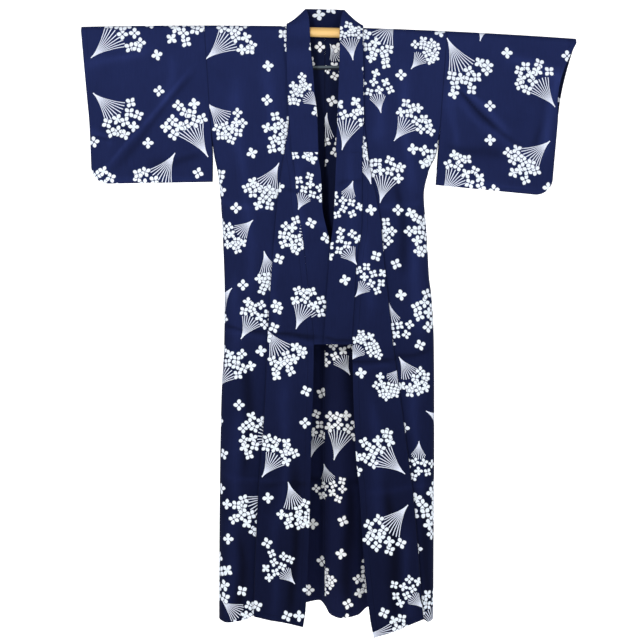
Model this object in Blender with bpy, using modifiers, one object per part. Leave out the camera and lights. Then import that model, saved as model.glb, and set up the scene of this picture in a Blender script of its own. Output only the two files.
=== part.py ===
"""A cotton yukata robe hung on a bent bamboo rod that runs through both sleeves.

The origin is on the rod's axis, midway along it. +X is to the viewer's right, -Y towards the
viewer and +Z up. Left and right are the wearer's, so the right half of the robe lies at -X.
The tables below are in millimetres: "drop" is the distance below the rod's axis, and "out" is
the distance from the robe's middle line, outwards on the half that the table belongs to.
Every sheet of cloth is a grid of points worked out from these tables, made solid by Solidify.
"""

from collections import namedtuple
from math import cos, pi, sin, sqrt

import bmesh
import bpy
import numpy as np

MM = 0.001

# The rod: straw-yellow bamboo, a little bent by the robe's weight.
ROD_RADIUS = 13.0
ROD_REACH = (-632.0, 650.0)  # its two ends, just inside the cuffs
ROD_TILT = -0.0235  # rise for each millimetre along X
ROD_BOW = -0.000036  # sag for each square millimetre
ROD_SPANS = 20

# The cloth, and the stacks of folded cloth that stand for a collar.
CLOTH = 1.5
COLLAR_WALL = 2.6
OVER_COLLAR_WALL = 1.2
TAPE_WALL = 1.0
SEAM_GAP = 0.3
SIDE_GAP = 0.65  # from the edges of front and back at the side seam to the plane between them
SHOULDER_GAP = 0.5  # and the same on top of the rod
OVER_COLLAR_GAP = 0.6
OVER_ROD = 14.8  # radius of the cloth's middle surface where it lies over the rod
ROD_TURNS = 6  # flats of the cloth over the rod, front to back

# Heights that the pieces share, as drops below the rod's axis.
SLEEVE_SEAM_END = 225.0  # below it a sleeve's inner edge hangs free
SIDE_SEAM_TOP = 362.0  # above it the body is open at the side, under the arm
OKUMI_TIP = 250.0
OVER_COLLAR_END = 321.0
COLLAR_END = 826.0
HEM = 1550.0  # the nominal hem, which the hem tables raise or lower
HEM_EASE = 1330.0  # the rows below this drop are spread to reach the real hem
LEVELS = (
    0, 20, 40, 65, 90, 120, 150, 203, 244, 250, 285, 321, 362, 405, 466, 550, 630, 709, 790, 826,
    900, 1000, 1110, 1220, 1330, 1420, 1500, 1550,
)

# A front panel is cut wider than it shows: what is left over is a pleat behind its okumi.
FRONT_CUT = 240.0
FRONT_CUT_DROP = 321.0  # the cut width grows from the shoulder's to FRONT_CUT at this drop
PLEAT_OPEN = 6.0  # a pleat this deep is folded flat, and a shallower one only turns part way

Front = namedtuple("Front", "drop side pleat edge collar")

# Out from the middle: the side edge, the pleat at the okumi's seam, the collar's seam (below
# the collar the okumi's free edge), and the collar's free edge.
RIGHT_FRONT = (
    Front(0, 317.8, 101.4, 101.4, 42.0),
    Front(50, 314.5, 101.0, 101.0, 39.6),
    Front(100, 311.2, 100.0, 100.0, 34.0),
    Front(160, 307.3, 98.0, 98.0, 29.8),
    Front(225, 303.0, 95.0, 95.0, 22.6),
    Front(250, 301.0, 96.0, 92.5, 21.5),
    Front(321, 294.0, 107.0, 87.0, 19.0),
    Front(379, 282.5, 116.0, 79.0, 10.6),
    Front(466, 274.5, 127.0, 71.3, 6.9),
    Front(550, 270.0, 134.0, 58.0, -10.6),
    Front(700, 265.5, 144.5, 42.0, -30.0),
    Front(826, 267.0, 151.5, 29.5, -45.0),
    Front(940, 273.0, 156.0, 31.0, -45.0),
    Front(1032, 275.6, 161.0, 34.5, -45.0),
    Front(1234, 278.5, 176.0, 39.0, -45.0),
    Front(1503, 280.0, 185.5, 50.0, -45.0),
    Front(1550, 280.0, 186.0, 57.0, -45.0),
)
LEFT_FRONT = (
    Front(0, 322.8, 99.0, 99.0, 41.4),
    Front(50, 319.1, 100.0, 100.0, 41.0),
    Front(100, 315.4, 100.8, 100.8, 39.5),
    Front(160, 311.0, 101.0, 101.0, 37.5),
    Front(225, 306.3, 102.0, 102.0, 35.0),
    Front(250, 304.0, 104.5, 101.0, 34.0),
    Front(321, 295.0, 112.0, 99.0, 30.5),
    Front(362, 277.0, 118.0, 98.0, 28.5),
    Front(432, 262.0, 134.0, 98.0, 26.0),
    Front(514, 268.0, 148.0, 97.0, 21.0),
    Front(578, 272.0, 153.0, 87.0, 13.2),
    Front(646, 275.6, 160.0, 81.0, 8.5),
    Front(709, 283.6, 167.0, 78.0, 4.0),
    Front(826, 288.5, 179.0, 72.0, -2.0),
    Front(950, 289.4, 196.0, 74.0, -2.0),
    Front(1131, 289.4, 220.0, 82.0, -2.0),
    Front(1208, 289.0, 230.0, 90.0, -2.0),
    Front(1352, 288.0, 243.0, 99.0, -2.0),
    Front(1506, 287.3, 254.0, 117.0, -2.0),
    Front(1550, 287.0, 258.0, 127.0, -2.0),
)

Depth = namedtuple("Depth", "drop panel belly turn right_edge left_edge")

# How far the layers stand in front of the rod's axis: the front panel and the bulge at its
# middle, the chord of each flat in a pleat's turn, and the okumi's inner edge on each half.
DEPTHS = (
    Depth(0, 14.8, 0.0, 1.9, 14.8, 14.8),
    Depth(100, 14.9, 1.0, 1.9, 20.5, 20.5),
    Depth(250, 15.5, 2.0, 1.9, 24.0, 24.2),
    Depth(466, 16.5, 2.5, 2.0, 25.5, 29.0),
    Depth(600, 17.5, 3.0, 2.2, 26.5, 33.0),
    Depth(826, 19.0, 4.0, 2.5, 30.0, 39.0),
    Depth(1200, 22.0, 6.0, 3.3, 42.0, 47.0),
    Depth(1550, 26.0, 8.0, 4.3, 54.0, 60.0),
)
SIDE_ROUND = 24.0  # width of the rounding where front and back turn at the side

Hem = namedtuple("Hem", "out drop")

RIGHT_PANEL_HEM = (Hem(110, 1540), Hem(186, 1538), Hem(210, 1549), Hem(258, 1557), Hem(280, 1551))
RIGHT_OKUMI_HEM = (Hem(56, 1564), Hem(112, 1552), Hem(145, 1547), Hem(172, 1541), Hem(186, 1538))
LEFT_PANEL_HEM = (Hem(150, 1542), Hem(255, 1546), Hem(272, 1556), Hem(287, 1551))
LEFT_OKUMI_HEM = (
    Hem(127, 1590), Hem(158, 1582), Hem(176, 1577), Hem(200, 1568), Hem(226, 1557), Hem(258, 1545),
)

BackFold = namedtuple("BackFold", "x depth hem")

# The back's long soft folds, across both halves: the share of the fold depth by which the
# cloth lies back there, and the drop of its hem.
BACK_FOLDS = (
    BackFold(-288, 0.00, 1551),
    BackFold(-235, 0.50, 1548),
    BackFold(-165, 0.10, 1545),
    BackFold(-100, 0.70, 1535),
    BackFold(-51, 0.95, 1522),
    BackFold(-14, 1.00, 1516),
    BackFold(0, 0.60, 1526),
    BackFold(14, 0.22, 1547),
    BackFold(45, 0.00, 1556),
    BackFold(88, 0.25, 1549),
    BackFold(117, 0.80, 1532),
    BackFold(180, 0.15, 1536),
    BackFold(235, 0.55, 1545),
    BackFold(290, 0.00, 1551),
)

Swell = namedtuple("Swell", "drop depth")

BACK_SWELLS = (Swell(0, 0), Swell(120, 3), Swell(300, 13), Swell(600, 23), Swell(1100, 33), Swell(1550, 42))

Sleeve = namedtuple(
    "Sleeve",
    "top_in top_out armhole_slope in_least in_drop corner_drop corner_radius out_drop cuff_drop"
    " cuff_out corner_out front_bow back_bow crease",
)
Crease = namedtuple("Crease", "start end height width")

RIGHT_SLEEVE = Sleeve(
    top_in=317.8, top_out=644.0, armhole_slope=-0.0655, in_least=297.0, in_drop=396.0,
    corner_drop=400.5, corner_radius=45.0, out_drop=356.0, cuff_drop=230.0, cuff_out=623.5,
    corner_out=619.0, front_bow=0.0, back_bow=0.0,
    crease=Crease((363.0, 100.0), (556.0, 344.0), 5.0, 26.0),
)
LEFT_SLEEVE = Sleeve(
    top_in=322.8, top_out=664.0, armhole_slope=-0.0734, in_least=291.5, in_drop=404.0,
    corner_drop=430.0, corner_radius=45.0, out_drop=384.0, cuff_drop=238.0, cuff_out=617.0,
    corner_out=604.0, front_bow=-20.0, back_bow=-6.0,
    crease=Crease((360.0, 166.0), (469.0, 275.0), 5.0, 24.0),
)
SLEEVE_STATIONS = 14
# The powers by which three of a sleeve's forms fade along it, from its armhole to its cuff.
ARMHOLE_FADE = 4
CUFF_FADE = 6
CREASE_FADE = 0.5
# Up a sleeve's section from its sewn bottom: share of the height, and half the bag's depth.
SLEEVE_BAG = (
    (0.006, 3.0), (0.03, 5.5), (0.10, 9.0), (0.25, 12.4), (0.45, 14.2), (0.65, 14.8), (0.83, 14.8),
)

Neck = namedtuple("Neck", "seam free")

# The collar's turn round the neck, from the front of the rod to the middle of the back:
# (out, y, z) of its seam and of its free edge.
NECK_TURN = (
    Neck((101.0, -13.8, 11.4), (43.5, -21.0, 24.0)),
    Neck((100.5, -2.5, 18.0), (47.5, -15.0, 47.0)),
    Neck((98.0, 8.5, 15.4), (52.0, -3.0, 58.0)),
    Neck((86.0, 16.2, 9.6), (49.0, 10.0, 60.5)),
    Neck((56.0, 17.2, 7.0), (36.0, 16.5, 61.0)),
    Neck((26.0, 17.4, 4.8), (18.0, 18.5, 60.5)),
)
NECK_MIDDLE = Neck((0.0, 17.4, 3.6), (0.0, 19.0, 60.0))
COLLAR_LIFT = 2.6  # the collar's thickness carries it this far in front of the okumi
COLLAR_TILT = 0.6  # and its free edge this much further forward than its seam

# Where the columns of each section lie, as shares of its way.
MAIN_SHARES = (0.0, 0.04, 0.11, 0.32, 0.55, 0.78, 1.0)
BACK_SHARES = (0.0, 0.03, 0.08, 0.17, 0.27, 0.37, 0.47, 0.57, 0.67, 0.77, 0.86, 0.94, 1.0)
OKUMI_SHARES = (0.25, 0.5, 0.75, 1.0)
COLLAR_SHARES = (0.0, 0.34, 0.67, 1.0)
TURN_SHARE = 0.45  # half the height of its turn over the free edge, by its distance from it

TAPE_HALF = 62.0
TAPE_DROP = (86.0, 96.5)
TAPE_COLUMNS = 8
TAPE_GAP = 0.4  # between the tape and the back's flats

Look = namedtuple("Look", "color roughness")

COTTON_LOOK = Look((0.018, 0.027, 0.100), 0.85)
COLLAR_LOOK = Look((0.022, 0.032, 0.115), 0.85)
TAPE_LOOK = Look((0.070, 0.085, 0.100), 0.70)
BAMBOO_LOOK = Look((0.800, 0.520, 0.190), 0.42)


def clear_scene():
    for thing in list(bpy.data.objects):
        bpy.data.objects.remove(thing, do_unlink=True)


def material(name, look):
    made = bpy.data.materials.new(name)
    made.use_nodes = True
    shader = made.node_tree.nodes["Principled BSDF"]
    shader.inputs["Base Color"].default_value = (*look.color, 1.0)
    shader.inputs["Roughness"].default_value = look.roughness
    shader.inputs["Metallic"].default_value = 0.0
    return made


def curve_through(knots, values):
    """A smooth curve through the values that never swings past them between two knots."""
    steps = np.diff(knots)
    rates = np.diff(values) / steps
    slopes = np.concatenate(([rates[0]], np.zeros(len(rates) - 1), [rates[-1]]))
    for i in range(1, len(rates)):
        before, after = rates[i - 1], rates[i]
        if before * after > 0:
            slopes[i] = 2 * before * after / (before + after)

    def at(x):
        x = min(max(x, knots[0]), knots[-1])
        i = min(int(np.searchsorted(knots, x, side="right")) - 1, len(steps) - 1)
        s = (x - knots[i]) / steps[i]
        rise = values[i + 1] - values[i]
        start, end = slopes[i] * steps[i], slopes[i + 1] * steps[i]
        return values[i] + s * (start + s * (3 * rise - 2 * start - end + s * (start + end - 2 * rise)))

    return at


def curves_of(table, key):
    """A smooth curve for each named column of a table, over its key column."""
    knots = np.array([getattr(row, key) for row in table], float)
    names = [name for name in table[0]._fields if name != key]
    return {
        name: curve_through(knots, np.array([getattr(row, name) for row in table], float))
        for name in names
    }


def smooth_step(share):
    share = min(max(share, 0.0), 1.0)
    return share * share * (3 - 2 * share)


def rod_height(x):
    return ROD_TILT * x + ROD_BOW * x * x


DEPTH = curves_of(DEPTHS, "drop")
BACK = curves_of(BACK_FOLDS, "x")
BACK_DEPTH = curves_of(BACK_SWELLS, "drop")["depth"]
Half = namedtuple("Half", "name sign front panel_hem okumi_hem sleeve edge_depth")
HALVES = (
    Half(
        "right", -1, curves_of(RIGHT_FRONT, "drop"), curves_of(RIGHT_PANEL_HEM, "out")["drop"],
        curves_of(RIGHT_OKUMI_HEM, "out")["drop"], RIGHT_SLEEVE, DEPTH["right_edge"],
    ),
    Half(
        "left", 1, curves_of(LEFT_FRONT, "drop"), curves_of(LEFT_PANEL_HEM, "out")["drop"],
        curves_of(LEFT_OKUMI_HEM, "out")["drop"], LEFT_SLEEVE, DEPTH["left_edge"],
    ),
)


def height(level, x, hem_drop):
    """The height of a row's point: it follows the rod near the top and the hem near the bottom."""
    if level > HEM_EASE:
        share = (level - HEM_EASE) / (HEM - HEM_EASE)
        return -(HEM_EASE + share * (hem_drop - HEM_EASE))
    fade = max(0.0, 1 - level / SIDE_SEAM_TOP)
    return -level + rod_height(x) * fade


def armhole(half, drop):
    """Out from the middle: the line on which the sleeve and the body are sewn together."""
    return half.sleeve.top_in + half.sleeve.armhole_slope * drop


def side_out(half, level):
    """Out from the middle: the body's side edge, on the sleeve's seam and then down the side."""
    if level >= SIDE_SEAM_TOP:
        return half.front["side"](level)
    seam = armhole(half, -height(level, half.sign * half.sleeve.top_in, HEM)) - SEAM_GAP / 2
    return seam if level <= SLEEVE_SEAM_END else min(half.front["side"](level), seam)


def side_closing(level):
    """0 where front and back are apart at the side, 1 from the side seam down."""
    return smooth_step((level - SLEEVE_SEAM_END) / (SIDE_SEAM_TOP - SLEEVE_SEAM_END))


def side_rounding(distance, level):
    """The share of its depth that a layer has this far from the side edge."""
    near = max(0.0, 1 - distance / SIDE_ROUND)
    return 1 - side_closing(level) * (1 - sqrt(max(0.0, 1 - near * near)))


def pleat_turn(depth):
    return pi * smooth_step(depth / PLEAT_OPEN)


def walk(start, legs):
    """Points reached from a start by legs of (length, heading): 0 is inwards, pi/2 forwards."""
    points = [start]
    for length, heading in legs:
        inward, forward = points[-1]
        points.append((inward + length * cos(heading), forward + length * sin(heading)))
    return points


def pleat_depth(half, level):
    shows = side_out(half, level) - half.front["pleat"](level)
    shoulder_cut = armhole(half, 0) - half.front["pleat"](0)
    cut = shoulder_cut + (FRONT_CUT - shoulder_cut) * min(1.0, level / FRONT_CUT_DROP)
    return max(0.0, (cut - shows) / 2)


def pleat_legs(half, level):
    """The pleat's legs up to the middle of its second turn, where the seam is."""
    depth = pleat_depth(half, level)
    turn = pleat_turn(depth)
    chord = DEPTH["turn"](level)
    return [
        (chord, turn / 4), (chord, turn / 2), (chord, turn * 3 / 4),
        (max(depth, chord), turn), (chord, turn * 3 / 4), (chord / 2, turn / 2),
    ]


def seam_point(half, level):
    """(out, forward) of the front panel's inner seam."""
    end = walk((0.0, 0.0), pleat_legs(half, level))[-1]
    return half.front["pleat"](level), DEPTH["panel"](level) + end[1]


def panel_section(half, level):
    """(out, forward) of a front panel's columns, from its side edge to its inner seam."""
    legs = pleat_legs(half, level)
    legs[-1] = (legs[-1][0] - SEAM_GAP / 2, legs[-1][1])
    pleat = walk((0.0, 0.0), legs)
    side = side_out(half, level)
    seam = half.front["pleat"](level)
    reach = (side - seam) - pleat[-1][0]
    ahead = DEPTH["panel"](level)
    points = []
    for share in MAIN_SHARES:
        forward = ahead + DEPTH["belly"](level) * sin(pi * share)
        points.append((side - share * reach, forward * side_rounding(share * reach, level)))
    for inward, forward in pleat[1:]:
        points.append((side - reach - inward, ahead + forward))
    return points


def okumi_section(half, level):
    """(out, forward) of the okumi's columns, from its seam to the collar's seam or its free edge."""
    turn = pleat_turn(pleat_depth(half, level))
    chord = DEPTH["turn"](level)
    out, forward = seam_point(half, level)
    lead = SEAM_GAP / 2
    room = out - (half.front["edge"](level) + SEAM_GAP)
    scale = min(1.0, room / (3 * chord))
    legs = [(lead, turn / 2), (chord * scale / 2, turn / 2), (chord * scale, turn / 4)]
    start = walk((0.0, forward), legs)[1:]
    points = [(out - inward, ahead) for inward, ahead in start]
    last_out, last_ahead = points[-1]
    edge = half.front["edge"](level) + SEAM_GAP
    edge_ahead = max(half.edge_depth(level), last_ahead)
    for share in OKUMI_SHARES:
        points.append((last_out + share * (edge - last_out), last_ahead + share * (edge_ahead - last_ahead)))
    return points


def collar_ends(half, level):
    """(out, forward) of the collar's seam edge and of its free edge in one row."""
    ahead = max(half.edge_depth(level), seam_point(half, level)[1]) + COLLAR_LIFT
    return (half.front["edge"](level), ahead), (half.front["collar"](level), ahead + COLLAR_TILT)


def front_rows(half, section, levels, hem):
    """Points of a hanging front piece, a row for each level."""
    rows = []
    for level in levels:
        row = []
        for out, forward in section(half, level):
            x = half.sign * out
            row.append((x, -forward, height(level, x, hem(out))))
        rows.append(row)
    return rows


def back_row(half, level):
    side = side_out(half, level)
    row = []
    for share in BACK_SHARES:
        out = side + share * (SEAM_GAP / 2 - side)
        x = half.sign * out
        behind = OVER_ROD + BACK_DEPTH(level) * BACK["depth"](x)
        y = behind * side_rounding(side - out, level)
        row.append((x, y, height(level, x, BACK["hem"](x))))
    return row


def shoulder_rows(half):
    """Rows of the body panel over the rod, from the front's top row up to the rod's top."""
    columns = [out for out, _ in panel_section(half, 0)]
    rows = []
    for k in range(1, ROD_TURNS // 2 + 1):
        angle = min(pi * k / ROD_TURNS, pi / 2 - SHOULDER_GAP / OVER_ROD)
        row = []
        for out in columns:
            x = half.sign * out
            row.append((x, -OVER_ROD * cos(angle), rod_height(x) + OVER_ROD * sin(angle)))
        rows.append(row)
    return rows


def sheet(name, rows, wall, finish, collection):
    """A grid of quads moved to the given rows of points, closed where its edges meet, made solid."""
    bm = bmesh.new()
    columns = len(rows[0])
    bmesh.ops.create_grid(bm, x_segments=columns - 1, y_segments=len(rows) - 1, size=1.0)
    verts = sorted(bm.verts, key=lambda v: (round(v.co.y, 5), round(v.co.x, 5)))
    points = [point for row in rows for point in row]
    for vert, point in zip(verts, points):
        vert.co = [MM * value for value in point]
    bmesh.ops.remove_doubles(bm, verts=bm.verts, dist=1e-6)
    bmesh.ops.triangulate(bm, faces=bm.faces, quad_method="SHORT_EDGE")
    bmesh.ops.recalc_face_normals(bm, faces=bm.faces)
    mesh = bpy.data.meshes.new(name)
    bm.to_mesh(mesh)
    bm.free()
    mesh.shade_smooth()
    made = bpy.data.objects.new(name, mesh)
    made.data.materials.append(finish)
    collection.objects.link(made)
    solid = made.modifiers.new("wall", "SOLIDIFY")
    solid.thickness = wall * MM
    solid.offset = 0.0
    return made


def body(half, finish, collection):
    """One length of cloth from the front hem over the shoulder to the back hem, in two halves.

    The halves part on top of the rod, so that neither wraps round the robe's hollow.
    """
    levels = [float(level) for level in LEVELS]
    front = front_rows(half, panel_section, reversed(levels), half.panel_hem)
    back = [back_row(half, level) for level in levels]
    for row, twin, level in zip(reversed(front), back, levels):
        if level >= SIDE_SEAM_TOP:
            row[0] = (row[0][0], -SIDE_GAP, row[0][2])
            twin[0] = (row[0][0], SIDE_GAP, row[0][2])
    over = shoulder_rows(half)
    behind = [[(x, -y, z) for x, y, z in row] for row in reversed(over)]
    sheet(f"front_{half.name}", front + over, CLOTH, finish, collection)
    sheet(f"back_{half.name}", behind + back, CLOTH, finish, collection)


def okumi(half, finish, collection):
    levels = [float(level) for level in LEVELS if level >= OKUMI_TIP]
    rows = front_rows(half, okumi_section, levels, half.okumi_hem)
    return sheet(f"okumi_{half.name}", rows, CLOTH, finish, collection)


def collar_lines(end_drop):
    """The collar from its right end round the neck to its left end: (seam edge, free edge) pairs."""
    lines = []
    for half in HALVES:
        side = []
        for level in [float(level) for level in LEVELS if level <= end_drop]:
            pair = []
            for out, forward in collar_ends(half, level):
                x = half.sign * out
                pair.append((x, -forward, height(level, x, HEM)))
            side.append(pair)
        side.reverse()
        for neck in NECK_TURN:
            side.append([(half.sign * out, y, z + rod_height(half.sign * out)) for out, y, z in neck])
        lines.append(side)
    right, left = lines
    return right + [list(NECK_MIDDLE)] + left[::-1]


def between(pair, share):
    seam, free = np.array(pair[0]), np.array(pair[1])
    return seam + share * (free - seam)


def grid_normals(rows):
    """The unit normal at each point of a grid: the mean of the normals of the quads round it."""
    points = np.array(rows)
    across, along = points[:, 1:] - points[:, :-1], points[1:] - points[:-1]
    corner = np.cross(across[:-1] + across[1:], along[:, :-1] + along[:, 1:])
    corner /= np.linalg.norm(corner, axis=2, keepdims=True)
    total = np.zeros_like(points)
    for i, j in ((0, 0), (0, 1), (1, 0), (1, 1)):
        total[i:i + corner.shape[0], j:j + corner.shape[1]] += corner
    return total / np.linalg.norm(total, axis=2, keepdims=True)


def collar(finish, collection):
    rows = [[tuple(between(pair, share)) for share in COLLAR_SHARES] for pair in collar_lines(COLLAR_END)]
    return sheet("collar", rows, COLLAR_WALL, finish, collection)


def over_collar(finish, collection):
    """A second strip round the neck part of the collar, turned over its free edge."""
    base = np.array(
        [[between(pair, share) for share in COLLAR_SHARES] for pair in collar_lines(OVER_COLLAR_END)]
    )
    away = COLLAR_WALL / 2 + OVER_COLLAR_GAP + OVER_COLLAR_WALL / 2
    rows = []
    for points, normals in zip(base, grid_normals(base)):
        lifted, sunk = points + away * normals, points - away * normals
        free, last = points[-1], normals[-1]
        across = free - points[-2]
        across /= np.linalg.norm(across)
        row = [*lifted]
        row += [free + away * (across + TURN_SHARE * last), free + away * (across - TURN_SHARE * last)]
        row += [*sunk[:0:-1]]
        rows.append([tuple(point) for point in row])
    return sheet("over_collar", rows, OVER_COLLAR_WALL, finish, collection)


def sleeve_hang(cut, station):
    """(out, drop) of a sleeve section's sewn bottom: along the bottom, round the corner, up to the cuff."""
    radius = cut.corner_radius
    turn_out = cut.corner_out - radius
    bottom = turn_out - cut.in_least
    arc = radius * pi / 2
    rise = cut.out_drop - cut.cuff_drop
    way = station * (bottom + arc + rise)
    if way <= bottom:
        share = way / bottom
        return cut.in_least + way, cut.in_drop + share * (cut.corner_drop - cut.in_drop)
    if way <= bottom + arc:
        angle = (way - bottom) / radius
        return turn_out + radius * sin(angle), cut.corner_drop - radius * (1 - cos(angle))
    share = (way - bottom - arc) / rise
    return cut.corner_out + share * (cut.cuff_out - cut.corner_out), cut.out_drop - share * rise


def crease_lift(crease, out, drop):
    """How far a soft diagonal fold lifts the cloth at a point: it fades in over half its length."""
    (a, b), (c, d) = crease.start, crease.end
    length = sqrt((c - a) ** 2 + (d - b) ** 2)
    along = ((out - a) * (c - a) + (drop - b) * (d - b)) / length
    aside = ((out - a) * (d - b) - (drop - b) * (c - a)) / length
    ends = smooth_step(along / length + 0.5) * smooth_step(1.5 - along / length)
    return crease.height * ends * np.exp(-((aside / crease.width) ** 2))


def sleeve_side(half, station, front):
    """One layer of a sleeve's section, from just above its sewn bottom to beside the rod."""
    cut = half.sleeve
    top = cut.top_in + SEAM_GAP / 2 + station * (cut.top_out - cut.top_in)
    low, drop = sleeve_hang(cut, station)
    bow = cut.front_bow if front else cut.back_bow
    rod = rod_height(half.sign * top)
    points = []
    for share, depth in SLEEVE_BAG + ((1.0, OVER_ROD),):
        z = -drop + share * (rod + drop)
        out = low + share * (top - low)
        edge = max(armhole(half, -z) + SEAM_GAP / 2, cut.in_least)
        inmost = cut.in_least + share * (cut.top_in + SEAM_GAP / 2 - cut.in_least)
        out += (edge - inmost) * (1 - station) ** ARMHOLE_FADE
        out += bow * station**CUFF_FADE * sin(pi * share)
        if front:
            depth += crease_lift(cut.crease, out, -z) * station**CREASE_FADE
        points.append((half.sign * out, -depth if front else depth, z))
    return points


def sleeve_section(half, station):
    """A closed section of a sleeve: up its front, over the rod and down its back."""
    low, drop = sleeve_hang(half.sleeve, station)
    bottom = (half.sign * low, 0.0, -drop)
    front, back = sleeve_side(half, station, True), sleeve_side(half, station, False)
    top, _, rod = back[-1]
    over = []
    for k in range(1, ROD_TURNS):
        angle = pi * k / ROD_TURNS
        over.append((top, -OVER_ROD * cos(angle), rod + OVER_ROD * sin(angle)))
    return [bottom] + front + over + back[::-1] + [bottom]


def sleeve(half, finish, collection):
    rows = [sleeve_section(half, k / SLEEVE_STATIONS) for k in range(SLEEVE_STATIONS + 1)]
    return sheet(f"sleeve_{half.name}", rows, CLOTH, finish, collection)


def neck_tape(finish, collection):
    """A narrow dark tape across the inside of the back, below the neck."""
    rows = []
    for drop in TAPE_DROP:
        row = []
        for k in range(TAPE_COLUMNS + 1):
            x = -TAPE_HALF + 2 * TAPE_HALF * k / TAPE_COLUMNS
            behind = OVER_ROD + BACK_DEPTH(drop) * BACK["depth"](x)
            row.append((x, behind - CLOTH / 2 - TAPE_GAP - TAPE_WALL / 2, -drop))
        rows.append(row)
    return sheet("neck_tape", rows, TAPE_WALL, finish, collection)


def rod(finish, collection):
    """The bamboo rod, a bent round bar with closed ends."""
    curve = bpy.data.curves.new("rod", "CURVE")
    curve.dimensions = "3D"
    curve.bevel_depth = ROD_RADIUS * MM
    curve.bevel_resolution = 2
    curve.use_fill_caps = True
    line = curve.splines.new("POLY")
    line.points.add(ROD_SPANS)
    start, end = ROD_REACH
    for k, point in enumerate(line.points):
        x = start + (end - start) * k / ROD_SPANS
        point.co = (x * MM, 0.0, rod_height(x) * MM, 1.0)
    made = bpy.data.objects.new("rod", curve)
    made.data.materials.append(finish)
    collection.objects.link(made)
    return made


def main():
    clear_scene()
    robe = bpy.data.collections.new("yukata_on_rod")
    bpy.context.scene.collection.children.link(robe)
    cotton = material("printed_cotton", COTTON_LOOK)
    collar_cotton = material("collar_cotton", COLLAR_LOOK)
    rod(material("bamboo", BAMBOO_LOOK), robe)
    for half in HALVES:
        body(half, cotton, robe)
        okumi(half, cotton, robe)
        sleeve(half, cotton, robe)
    collar(collar_cotton, robe)
    over_collar(collar_cotton, robe)
    neck_tape(material("dark_tape", TAPE_LOOK), robe)


main()
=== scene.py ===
"""The looks of a cotton yukata robe that hangs open on a bamboo rod.

Every sheet of cloth is worked out again from the robe's own sizes, on a grid fine enough for its
folds and its creases, and takes the place of the plain solids. The tables are in millimetres:
"drop" is the distance below the rod's axis, and "out" is the distance from the robe's middle line,
outwards on the half that a table belongs to. The right half is the wearer's, at -X.
The print is placed one by one: each spray and each single floret has a listed place on the cloth.
"""

from collections import namedtuple
from functools import partialmethod
from math import atan, cos, pi, radians, sin, sqrt

import bpy
import numpy as np
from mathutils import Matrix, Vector


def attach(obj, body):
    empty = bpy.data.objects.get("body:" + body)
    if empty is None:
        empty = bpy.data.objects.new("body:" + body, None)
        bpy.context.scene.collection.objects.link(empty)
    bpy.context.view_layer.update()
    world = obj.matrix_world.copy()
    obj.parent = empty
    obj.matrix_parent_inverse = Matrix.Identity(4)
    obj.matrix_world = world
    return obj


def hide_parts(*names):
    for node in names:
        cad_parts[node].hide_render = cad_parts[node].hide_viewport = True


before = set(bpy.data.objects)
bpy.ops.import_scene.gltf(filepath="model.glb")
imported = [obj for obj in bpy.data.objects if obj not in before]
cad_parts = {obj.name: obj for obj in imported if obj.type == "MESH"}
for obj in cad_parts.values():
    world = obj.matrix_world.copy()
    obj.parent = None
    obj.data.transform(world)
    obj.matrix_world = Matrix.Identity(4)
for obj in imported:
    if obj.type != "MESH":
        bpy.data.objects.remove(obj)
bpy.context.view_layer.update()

MM = 0.001


def curve_through(*pairs):
    """A smooth curve through (place, value) pairs that never swings past them between two."""
    knots, values = np.array(pairs, float).T
    steps = np.diff(knots)
    rates = np.diff(values) / steps
    slopes = np.concatenate(([rates[0]], np.zeros(len(rates) - 1), [rates[-1]]))
    for i in range(1, len(rates)):
        before, after = rates[i - 1], rates[i]
        if before * after > 0:
            slopes[i] = 2 * before * after / (before + after)

    def at(x):
        x = min(max(x, knots[0]), knots[-1])
        i = min(int(np.searchsorted(knots, x, side="right")) - 1, len(steps) - 1)
        s = (x - knots[i]) / steps[i]
        rise = values[i + 1] - values[i]
        start, end = slopes[i] * steps[i], slopes[i + 1] * steps[i]
        return values[i] + s * (start + s * (3 * rise - 2 * start - end + s * (start + end - 2 * rise)))

    return at


def curves_of(names, *rows):
    """A smooth curve for each named column of a table but the first, over the first."""
    first, *columns = zip(*rows)
    return {
        name: curve_through(*zip(first, column)) for name, column in zip(names.split()[1:], columns)
    }


def smooth_step(share):
    share = np.clip(share, 0.0, 1.0)
    return share * share * (3 - 2 * share)


# ---------------------------------------------------------------- the robe's sizes

ROD_RADIUS = 13.0
ROD_REACH = (-632.0, 650.0)
ROD_TILT = -0.0235
ROD_BOW = -0.000036

CLOTH = 0.8
COLLAR_WALL = 2.2
OVER_COLLAR_WALL = 0.9
TAPE_WALL = 0.9
SEAM_GAP = 0.04
SIDE_GAP = 0.2
OVER_COLLAR_GAP = 0.5
OVER_ROD = 14.2

SLEEVE_SEAM_END = 225.0
SIDE_SEAM_TOP = 362.0
OKUMI_TIP = 250.0
OVER_COLLAR_END = 321.0
COLLAR_END = 826.0
HEM = 1550.0
HEM_EASE = 1330.0

FRONT_CUT = 240.0
FRONT_CUT_DROP = 321.0
PLEAT_OPEN = 6.0
ARC_CHORDS = 3.79  # length of a pleat's turn, in the chords that DEPTH gives
SEAM_TURN_MOST = 0.7  # share of an okumi's width that the turn at its seam may take

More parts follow.
